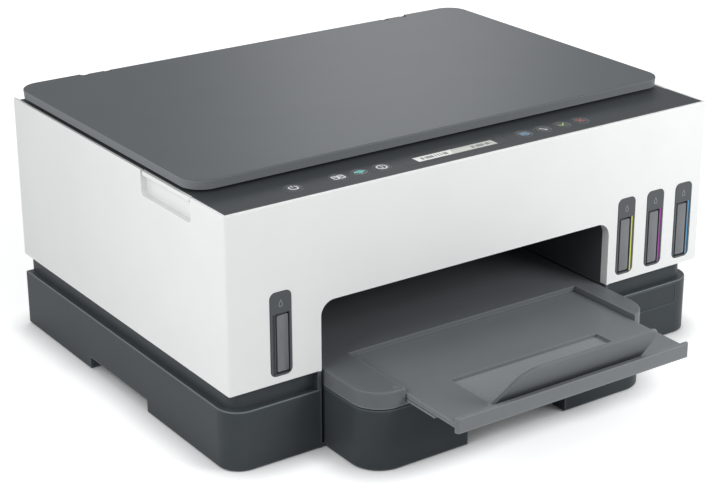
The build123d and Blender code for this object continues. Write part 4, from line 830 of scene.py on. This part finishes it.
class Workshop:
    """Turns surfaces into pieces of the printer and keeps one material for each finish."""

    def __init__(self) -> None:
        """Starts with no materials made."""
        self.made: dict[str, Material] = {}

    def material(self, finish: Finish) -> Material:
        """Material of a finish, made at its first use.

        Args:
            finish: the finish.

        Returns:
            Its material.
        """
        if finish.name not in self.made:
            self.made[finish.name] = finish.material()
        return self.made[finish.name]

    def piece(self, name: str, shell: Shell, body: str, finish: Finish) -> bpy.types.Object:
        """Makes a piece from a surface, with outward faces, smooth but for its sharp edges.

        Args:
            name: name of the piece.
            shell: its surface in millimetres.
            body: the CAD body that it rides on.
            finish: what it is finished with.

        Returns:
            The piece.
        """
        mesh = bpy.data.meshes.new(name)
        faces = shell.quads.tolist() + [cap.tolist() for cap in shell.caps]
        mesh.from_pydata((shell.points * MM).tolist(), [], faces)
        work = bmesh.new()
        work.from_mesh(mesh)
        bmesh.ops.recalc_face_normals(work, faces=work.faces)
        work.to_mesh(mesh)
        work.free()
        mesh.polygons.foreach_set("use_smooth", np.ones(len(mesh.polygons), bool))
        mesh.set_sharp_from_angle(angle=SHARP_ANGLE)
        mesh.materials.append(self.material(finish))
        made = put(name, mesh)
        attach(made, body)
        LOG.info("%s: %d faces on %s", name, len(faces), body)
        return made

    def dress(self, node: str, finish: Finish) -> None:
        """Gives a CAD node a finish on all its material slots.

        Args:
            node: name of the node.
            finish: what it is finished with.
        """
        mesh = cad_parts[node].data
        mesh.materials.clear()
        mesh.materials.append(self.material(finish))
        LOG.info("%s: %s", node, finish.name)


@dataclass
class TankWindows:
    """Panes, their dark channels and the drop marks on the front of the casing."""

    face_y: float = -97.906
    proud: float = 0.4
    pane_shift: float = 1.2
    pane_size: Pair = (9.4, 43.4)
    opening: Pair = (11.7, 46.4)
    bottom: float = 69.9
    bezel_size: Pair = (17.6, 64.0)
    bezel_bottom: float = 68.5
    mark_z: float = 124.0
    mark_size: Pair = (3.8, 5.6)
    line_width: float = 0.5

    def places(self, z: float, shift: float = 0.0) -> list[Triple]:
        """Points on the casing's face at a height, one for each tank, moved away from its stripe."""
        return [(ink.x - ink.side * shift, self.face_y, z) for ink in Pigment]

    def in_openings(self, shell: Shell) -> Shell:
        """Copies of a flat detail in the middles of the four openings."""
        return shell.set(Facing.FRONT).copies(self.places(self.bottom + self.opening[1] / 2, self.pane_shift))

    def panes(self) -> Shell:
        """Bevelled panes that stand in their openings with a narrow channel round them."""
        return self.in_openings(plate(round_rect(*self.pane_size, 0.8), -1.9, 0.55, 0.45))

    def backs(self) -> Shell:
        """Plates at the bottom of the openings, which the panes stand on."""
        return self.in_openings(plate(round_rect(*self.opening, 0.6), -2.2, -1.7, 0.1))

    def painted_gap_shadows(self) -> Shell:
        """Dark rings round the bezels, where they meet the casing: a painted shadow of the gap there."""
        wide, tall = np.array(self.bezel_size) + 0.3
        gap_shadow_ring = stroke(round_rect(wide, tall, 4.65), self.line_width, -0.4, 0.02, loop=True)
        return gap_shadow_ring.set(Facing.FRONT).copies(self.places(self.bezel_bottom + self.bezel_size[1] / 2))

    def marks(self) -> Shell:
        """Drop outlines above the panes, a hair proud of the bezels."""
        outline = drawn_in(drop(*self.mark_size), self.line_width / 2)
        drawn = stroke(outline, self.line_width, self.proud - 0.1, self.proud + 0.06, loop=True)
        return drawn.set(Facing.FRONT).copies(self.places(self.mark_z))

    def build(self, shop: Workshop) -> None:
        """Makes the pieces and puts the panes in the place of the plain ones.

        Args:
            shop: where pieces are made.
        """
        panes = shop.piece("window_panes", self.panes(), "chassis", PANE)
        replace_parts(panes, "ink_windows")
        # The channel piece also holds the dark rings round the bezels, a painted gap shadow.
        shop.piece("window_channels", self.backs() + self.painted_gap_shadows(), "chassis", CHANNEL)
        shop.piece("tank_drop_marks", self.marks(), "chassis", MARK_GREY)


@dataclass
class ControlStrip:
    """Rings round the buttons and the signs on them."""

    y: float = -77.406
    deck_z: float = 197.5
    button_z: float = 197.8
    places: dict[str, float] = field(default_factory=lambda: {
        "power": -154.6, "document": -116.8, "wireless": -98.1, "info": -79.0,
        "ink": 52.6, "paper": 71.4, "confirm": 90.4, "cancel": 108.7})
    bold: float = 0.95
    scale: float = 1.32
    levels: Pair = (-0.05, 0.06)

    def band(self, path: np.ndarray, loop: bool = False) -> Shell:
        """Sign line along a path, let into the button's top and a hair proud."""
        return stroke(path, self.bold, *self.levels, loop)

    def bars(self, *runs: tuple[Pair, ...]) -> Shell:
        """Sign lines along several straight runs."""
        return joined([self.band(line(*run)) for run in runs])

    def dot(self, x: float, y: float, radius: float) -> Shell:
        """Round spot of a sign."""
        low, high = self.levels
        spot = turned([(radius, low), (radius, high / 2), (radius - 0.1, high)], 16)
        return spot.set(Facing.TOP, (x, y, 0))

    def signs(self) -> dict[str, tuple[Shell, Finish]]:
        """Sign of each button and its finish.

        Returns:
            The signs about the buttons' middles, by button.
        """
        card = round_rect(3.0, 4.4, 0.5, 4)
        cards = self.band(card - (1.9, 0), True) + self.band(card + (1.9, 0), True)
        waves = [stroke(arc(r, 28, 152, (0, -1.6)), 0.85, *self.levels) for r in (1.3, 2.5, 3.7)]
        rows = self.bars(*(((-2.6, h), (2.6, h)) for h in (-1.2, 0.0, 1.2)))
        letter = self.bars(((0, -1.6), (0, 0.5))) + self.dot(0, 1.5, 0.5)
        return {
            "power": (self.band(arc(2.5, 125, 415)) + self.bars(((0, 0.6), (0, 3.2))), MARK_WHITE),
            "document": (cards + self.bars(((-2.6, 0.6), (-1.2, 0.6)), ((1.2, 0.6), (2.6, 0.6))), MARK_WHITE),
            "wireless": (joined(waves) + self.dot(0, -1.6, 0.6), MARK_TEAL),
            "info": (self.band(arc(2.9, 0, 360)[:-1], True) + letter, MARK_WHITE),
            "ink": (rows + self.band(arc(3.1, 200, 340)), MARK_BLUE),
            "paper": (self.bars(((-1.4, 1.7), (1.4, -1.7)), ((0.2, -2.0), (1.8, -2.0))), MARK_WHITE),
            "confirm": (self.bars(((-2.3, 0.3), (-0.6, -1.6), (2.4, 2.0))), MARK_GREEN),
            "cancel": (self.bars(((-1.9, -1.9), (1.9, 1.9)), ((-1.9, 1.9), (1.9, -1.9))), MARK_RED),
        }

    def build(self, shop: Workshop) -> None:
        """Makes the rings on the deck and a sign on each button.

        Args:
            shop: where pieces are made.
        """
        section = [(6.66, -0.1), (7.0, -0.1), (6.96, 0.06), (6.86, 0.12), (6.72, 0.08)]
        spots = [(x, self.y, self.deck_z) for x in self.places.values()]
        shop.piece("button_rings", hoop(section).copies(spots), "scanner_unit", RING_GREY)
        for name, (sign, finish) in self.signs().items():
            sign.points[:, :2] *= self.scale
            placed = sign.set(Facing.TOP, (self.places[name], self.y, self.button_z))
            shop.piece(f"{name}_sign", placed, f"{name}_button", finish)


@dataclass
class ScannerBed:
    """Rule beside the glass, corner mark, scan lens and the lid's bumpers."""

    deck_z: float = 197.5
    glass_x: float = 152.0
    glass_y: Pair = (-23.9, 198.1)
    lens_x: float = -164.0
    lens_z: float = 191.0
    bumper_x: float = 197.0
    bumper_y: Pair = (-38.0, 205.0)
    lid_z: float = 200.0

    def rule(self) -> Shell:
        """Lines every ten millimetres along the glass's left edge, each fifth one longer."""
        steps = np.arange(0.0, 221.0, 10.0)
        short, long = (plate(round_rect(length, 0.5, 0.1, 2), -0.05, 0.08, 0.05) for length in (3.0, 5.0))
        fifth = np.arange(len(steps)) % 5 == 0
        same = np.ones(len(steps))
        left = np.column_stack((same * (-self.glass_x - 4.0), self.glass_y[0] + steps, same * self.deck_z))
        return short.copies(left[~fifth]) + long.copies(left[fifth])

    def corner_mark(self) -> Shell:
        """Arrowhead at the glass's front left corner, pointing to where a sheet's corner lies."""
        head = np.array([(3.2, -3.2), (3.2, 2.6), (-2.6, -3.2)])
        corner = (-self.glass_x - 6.0, self.glass_y[0] - 6.0, self.deck_z)
        return plate(head, -0.05, 0.1, 0.06).set(Facing.TOP, corner)

    def lens(self) -> Shell:
        """Rod lens in the scan bar's slit: a half round section (cos t, sin t) carried along Y."""
        y = np.linspace(self.glass_y[0] + 4, self.glass_y[1] - 4, 12)
        y, t = np.meshgrid(y, np.linspace(0, math.pi, 10), indexing="ij")
        return skin(np.stack((1.7 * np.cos(t) + self.lens_x, y, 0.95 * np.sin(t) + self.lens_z), -1))

    def bumpers(self) -> Shell:
        """Soft domes under the lid's four corners: radius sin t and level cos t, turned round."""
        t = np.linspace(0.08, math.pi / 2, 7)
        dome = np.column_stack((3.8 * np.sin(t), 2.3 * np.cos(t)))[::-1]
        ends = (-self.bumper_x, self.bumper_x)
        spots = [(x, y, self.lid_z + 0.1) for x in ends for y in self.bumper_y]
        return turned(dome).set(Facing.UNDERSIDE).copies(spots)

    def build(self, shop: Workshop) -> None:
        """Makes the pieces of the bed and the lid.

        Args:
            shop: where pieces are made.
        """
        shop.piece("glass_rule", self.rule() + self.corner_mark(), "scanner_unit", MARK_WHITE)
        shop.piece("scan_lens", self.lens(), "scan_bar", LENS)
        shop.piece("lid_bumpers", self.bumpers(), "scanner_lid", RUBBER)


@dataclass
class PaperPath:
    """Sheet mark on the output deck and the sealing lips of the service station."""

    deck_z: float = 62.2
    mark: Pair = (-118.0, -148.6)
    mark_size: Pair = (6.4, 4.6)
    cups_x: Pair = (144.0, 182.0)
    cup_y: float = 102.094
    cup_size: Pair = (22.0, 46.0)
    cup_z: float = 83.4

    def build(self, shop: Workshop) -> None:
        """Makes the mark and the lips.

        Args:
            shop: where pieces are made.
        """
        corners = np.array([(-0.5, -0.5), (0.5, -0.5), (0.0, 0.5)]) * self.mark_size
        head = plate(corners, -0.05, 0.08, 0.05).set(Facing.TOP, (*self.mark, self.deck_z))
        shop.piece("sheet_edge_mark", head, "paper_tray", MARK_FAINT)
        lip = stroke(round_rect(*self.cup_size, 4.0), 1.3, -0.4, 0.35, loop=True)
        spots = [(x, self.cup_y, self.cup_z) for x in self.cups_x]
        shop.piece("sealing_lips", lip.copies(spots), "chassis", RUBBER)


@dataclass
class PrintEngine:
    """Toothed belts, the carriage's cover and latch, and the base's screws."""

    belt_half: float = 192.0
    belt_y: float = 161.094
    belt_z: float = 130.0
    feed_belt_x: float = -154.2
    feed_belt_y: float = 99.594
    feed_belt_z: float = 75.0
    belt_thickness: float = 1.2
    belt_width: float = 4.0
    tooth_pitch: float = 2.0
    cover: Triple = (163.0, 104.0, 138.0)

    def belt(self, half_span: float, radius: float) -> Shell:
        """Toothed belt of the engine's kind."""
        return toothed_loop(half_span, radius, self.belt_thickness, self.belt_width, self.tooth_pitch)

    def carriage_belt(self) -> Shell:
        """Belt in the plane of X and Z that draws the carriage."""
        return self.belt(self.belt_half, 6.15).set(Facing.FRONT, (0, self.belt_y, self.belt_z))

    def feed_belt(self) -> Shell:
        """Belt in the plane of Y and Z between the two rollers' pulleys."""
        return self.belt(45.5, 7.15).set(Facing.RIGHT, (self.feed_belt_x, self.feed_belt_y, self.feed_belt_z))

    def carriage_cover(self) -> Shell:
        """Cover plate with finger ribs and a latch tongue at its front."""
        ribs = stroke(line((-24, 0), (24, 0)), 1.4, 1.4, 2.2).copies([(0, y, 0) for y in range(-18, 19, 6)])
        tongue = plate(round_rect(18.0, 9.0, 3.0), 0.0, 3.2, 0.9).set(Facing.TOP, (0, -30.0, 0))
        top = plate(round_rect(66.0, 56.0, 5.0), -0.2, 1.6, 0.7)
        return (top + ribs + tongue).set(Facing.TOP, self.cover)

    def screw(self) -> Shell:
        """Domed screw head: radius and level of a shallow dome, turned round the screw's axis."""
        return turned([(3.0, -0.3), (3.0, 0.1), (2.6, 0.26), (1.6, 0.36), (0.4, 0.4)])

    def slots(self) -> Shell:
        """Crossed driver slots on a screw head, as black bars a hair proud of the dome: painted shade of the
        slots.
        """
        cross = (((-1.5, 0), (1.5, 0)), ((0, -1.5), (0, 1.5)))
        return joined([stroke(line(*ends), 0.7, 0.1, 0.43) for ends in cross])

    def build(self, shop: Workshop) -> None:
        """Makes the belts in the place of the plain ones, and the rest of the engine's details.

        Args:
            shop: where pieces are made.
        """
        belts = {"carriage_belt": self.carriage_belt(), "feed_belt": self.feed_belt()}
        for name, belt in belts.items():
            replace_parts(shop.piece(f"toothed_{name}", belt, "chassis", RUBBER), name)
        shop.piece("carriage_cover", self.carriage_cover(), "print_carriage", GUIDE)
        under = [(x, y, 0.5) for x in (-186.0, 186.0) for y in (-30.0, 165.0)]
        heads, slots = (shell.set(Facing.UNDERSIDE).copies(under) for shell in (self.screw(), self.slots()))
        shop.piece("base_screws", heads, "chassis", STEEL)
        # Black crosses on the screw heads are painted shade of the slots.
        shop.piece("base_screw_slots", slots, "chassis", CHANNEL)


@dataclass
class TankBay:
    """Ink in the tanks and coloured tabs beside the filler caps."""

    bottom: float = 66.8
    front_y: float = -89.4
    back_y: float = 11.6
    top_z: float = 138.0
    tab_y: float = -16.0
    black_x: float = -184.5

    def ink(self, ink: Pigment) -> Shell:
        """Filled space of a tank, its surface rounded off at the walls."""
        middle = (self.front_y + self.back_y) / 2
        x = self.black_x if ink is Pigment.BLACK else ink.x
        outline = round_rect(ink.width, self.back_y - self.front_y, 2.0)
        return plate(outline, 0.0, ink.level - self.bottom, 0.6).set(Facing.TOP, (x, middle, self.bottom))

    def build(self, shop: Workshop) -> None:
        """Makes the ink of each tank and its tab.

        Args:
            shop: where pieces are made.
        """
        for ink in Pigment:
            shop.piece(f"{ink.label}_ink", self.ink(ink), "chassis", INKS[ink])
            tab = plate(round_rect(14.0, 9.0, 2.0), -0.1, 0.8, 0.3)
            tab = tab.set(Facing.TOP, (ink.x, self.tab_y, self.top_z))
            shop.piece(f"{ink.label}_tank_tab", tab, "chassis", CAPS[ink])


@dataclass
class BoardParts:
    """Capacitors, sockets and their pins on the main board, which stands on the left side."""

    face_x: float = -211.7
    cans: tuple[Pair, ...] = (
        (66.0, 138.0), (66.0, 128.0), (75.0, 138.0), (182.0, 80.0), (182.0, 90.0), (173.0, 80.0))
    sockets: tuple[Pair, ...] = ((92.0, 76.0), (112.0, 76.0), (132.0, 76.0))
    socket_size: Pair = (15.0, 6.5)

    def on_board(self, shell: Shell, spots: tuple[Pair, ...]) -> Shell:
        """Copies of a part on the board's face, at places along Y and Z."""
        return shell.set(Facing.RIGHT).copies([(self.face_x, y, z) for y, z in spots])

    def build(self, shop: Workshop) -> None:
        """Makes the parts.

        Args:
            shop: where pieces are made.
        """
        can = turned([(2.9, -0.1), (2.9, 0.4), (3.2, 0.8), (3.2, 4.3), (2.9, 4.6), (2.2, 4.6), (2.0, 4.5),
                      (0.4, 4.5)])
        shop.piece("board_capacitors", self.on_board(can, self.cans), "chassis", STEEL)
        outline = round_rect(*self.socket_size, 0.6, 3)
        box = stroke(outline, 1.0, -0.1, 4.4, loop=True) + plate(outline, -0.1, 0.6, 0.1)
        shop.piece("board_sockets", self.on_board(box, self.sockets), "chassis", MARK_WHITE)
        pins = turned([(0.35, -0.1), (0.35, 3.4), (0.2, 3.7)], 8).copies([(x, 0, 0) for x in range(-6, 7, 2)])
        shop.piece("board_pins", self.on_board(pins, self.sockets), "chassis", STEEL)


def seen_ray(tree: bpy.types.NodeTree) -> Socket:
    """One for what the camera sees, straight or by gloss or glass, and nought for light that falls.

    Args:
        tree: node tree to work in.

    Returns:
        The greatest of the three kinds of ray.
    """
    path = add_node(tree, "ShaderNodeLightPath").outputs
    most = path["Is Camera Ray"]
    for kind in ("Is Glossy Ray", "Is Transmission Ray"):
        either = add_node(tree, "ShaderNodeMath", {0: most, 1: path[kind]}, operation="MAXIMUM")
        most = either.outputs["Value"]
    return most


@dataclass
class Studio:
    """Floor, soft lamps, white surround and the camera at the photograph's angle."""

    eye: Triple = (-811.5, -1106.4, 643.6)
    azimuth: float = -34.72
    elevation: float = 21.51
    roll: float = -0.18
    lens: float = 93.15
    shift: Pair = (0.0004, -0.0135)
    world_light: float = 0.36
    world_colour: Rgba = (0.98, 0.985, 0.985, 1.0)
    floor_half: float = 6.0
    floor_lines: int = 13
    floor_glow: Pair = (0.56, 0.84)
    glow_from: Pair = (0.45, 1.3)
    painted_shadow_reach: float = 0.024

    def floor(self) -> None:
        """Pale floor that takes shadows and is lifted to white, less near the object and least in contact,
        where the fading lift is a painted contact shadow.
        """
        count = self.floor_lines
        edge = np.linspace(-self.floor_half, self.floor_half, count)
        x, y = np.meshgrid(edge, edge, indexing="ij")
        index = np.arange(count ** 2).reshape(count, count)
        quads = np.stack((index[:-1, :-1], index[1:, :-1], index[1:, 1:], index[:-1, 1:]), -1).reshape(-1, 4)
        mesh = bpy.data.meshes.new("studio_floor")
        points = np.stack((x, y, np.zeros_like(x)), -1).reshape(-1, 3)
        mesh.from_pydata(points.tolist(), [], quads.tolist())
        sheet = NodeSheet("studio_floor")
        stops = [(0.0, linear((226, 227, 228))), (1.0, linear((232, 233, 234)))]
        sheet.feed("Base Color", sheet.ramp(sheet.noise(400.0), stops))
        sheet.fix(Roughness=0.9, Specular_IOR_Level=0.1)
        # Painted contact shadow: the lift fades where the floor is occluded close by.
        open_air = sheet.node("ShaderNodeAmbientOcclusion", {"Distance": self.painted_shadow_reach}, samples=12)
        bare = sheet.sum("POWER", open_air.outputs["AO"], 2.0)
        away = sheet.node("ShaderNodeVectorMath", {0: sheet.place}, operation="LENGTH")
        level = sheet.span(away.outputs["Value"], *self.floor_glow, *self.glow_from)
        lift = sheet.sum("MULTIPLY", seen_ray(sheet.tree), sheet.sum("MULTIPLY", bare, level))
        glow = sheet.node("ShaderNodeEmission", {"Strength": lift}).outputs["Emission"]
        both = sheet.node("ShaderNodeAddShader", {0: sheet.shader.outputs["BSDF"], 1: glow})
        sheet.tree.links.new(both.outputs["Shader"], sheet.tree.nodes["Material Output"].inputs["Surface"])
        mesh.materials.append(sheet.material)
        put("studio_floor", mesh)

    def surround(self) -> None:
        """White world for what the camera and glass see, and a plain level for the light itself."""
        world = bpy.data.worlds.new("studio_surround")
        world.use_nodes = True
        bpy.context.scene.world = world
        tree = world.node_tree
        light = tree.nodes["Background"]
        light.inputs["Color"].default_value = self.world_colour
        light.inputs["Strength"].default_value = self.world_light
        seen = add_node(tree, "ShaderNodeBackground", {"Strength": 1.0, "Color": (1.0, 1.0, 1.0, 1.0)})
        mix = add_node(tree, "ShaderNodeMixShader", {
            "Fac": seen_ray(tree), 1: light.outputs["Background"], 2: seen.outputs["Background"]})
        tree.links.new(mix.outputs["Shader"], tree.nodes["World Output"].inputs["Surface"])

    def lamp(self, name: str, place: Triple, aim: Triple, size: Pair, power: float) -> None:
        """Soft rectangular lamp.

        Args:
            name: name of the lamp.
            place: where it stands, in metres.
            aim: what it points at, in metres.
            size: its width and height, in metres.
            power: its power in watts.
        """
        data = bpy.data.lights.new(name, "AREA")
        data.shape = "RECTANGLE"
        data.size, data.size_y = size
        data.energy = power
        lamp = put(name, data)
        lamp.location = place
        lamp.rotation_mode = "QUATERNION"
        lamp.rotation_quaternion = (Vector(aim) - Vector(place)).to_track_quat("-Z", "Y")

    def camera(self) -> None:
        """Camera whose axes follow from the azimuth, the elevation and a slight roll."""
        a, e, r = (math.radians(v) for v in (self.azimuth, self.elevation, self.roll))
        back = np.array((math.sin(a) * math.cos(e), -math.cos(a) * math.cos(e), math.sin(e)))
        right = np.array((math.cos(a), math.sin(a), 0.0))
        up = np.cross(back, right)
        axes = np.eye(4)
        axes[:3, 0] = right * math.cos(r) + up * math.sin(r)
        axes[:3, 1] = up * math.cos(r) - right * math.sin(r)
        axes[:3, 2] = back
        axes[:3, 3] = np.array(self.eye) * MM
        data = bpy.data.cameras.new("photo_camera")
        data.lens = self.lens
        data.sensor_width = 36.0
        data.shift_x, data.shift_y = self.shift
        camera = put("photo_camera", data)
        camera.matrix_world = Matrix(axes.tolist())
        bpy.context.scene.camera = camera

    def build(self) -> None:
        """Sets up the studio and the plain view transform."""
        self.camera()
        self.floor()
        self.surround()
        middle = (0.0, 0.0, 0.1)
        self.lamp("key_front_right", (0.5, -0.8, 0.55), middle, (0.5, 0.4), 5.3)
        self.lamp("fill_left", (-0.7, -0.2, 0.45), middle, (0.4, 0.4), 1.9)
        self.lamp("rim_back_left", (-0.7, 1.3, 0.6), middle, (0.5, 0.4), 2.6)
        self.lamp("sheen_back_right", (1.1, 1.55, 0.97), (0.0, 0.09, 0.2), (0.5, 0.4), 3.5)
        bpy.context.scene.view_settings.view_transform = "Standard"


def main() -> None:
    """Dresses the CAD nodes, builds the sub-assemblies in order and sets up the studio."""
    logging.basicConfig(level=logging.INFO, format="%(name)s: %(message)s")
    shop = Workshop()
    Studio().build()
    for finish, nodes in DRESSED:
        for node in nodes.split():
            shop.dress(node, finish)
    for assembly in (TankWindows, ControlStrip, ScannerBed, PaperPath, PrintEngine, TankBay, BoardParts):
        assembly().build(shop)


if __name__ == "__main__":
    main()
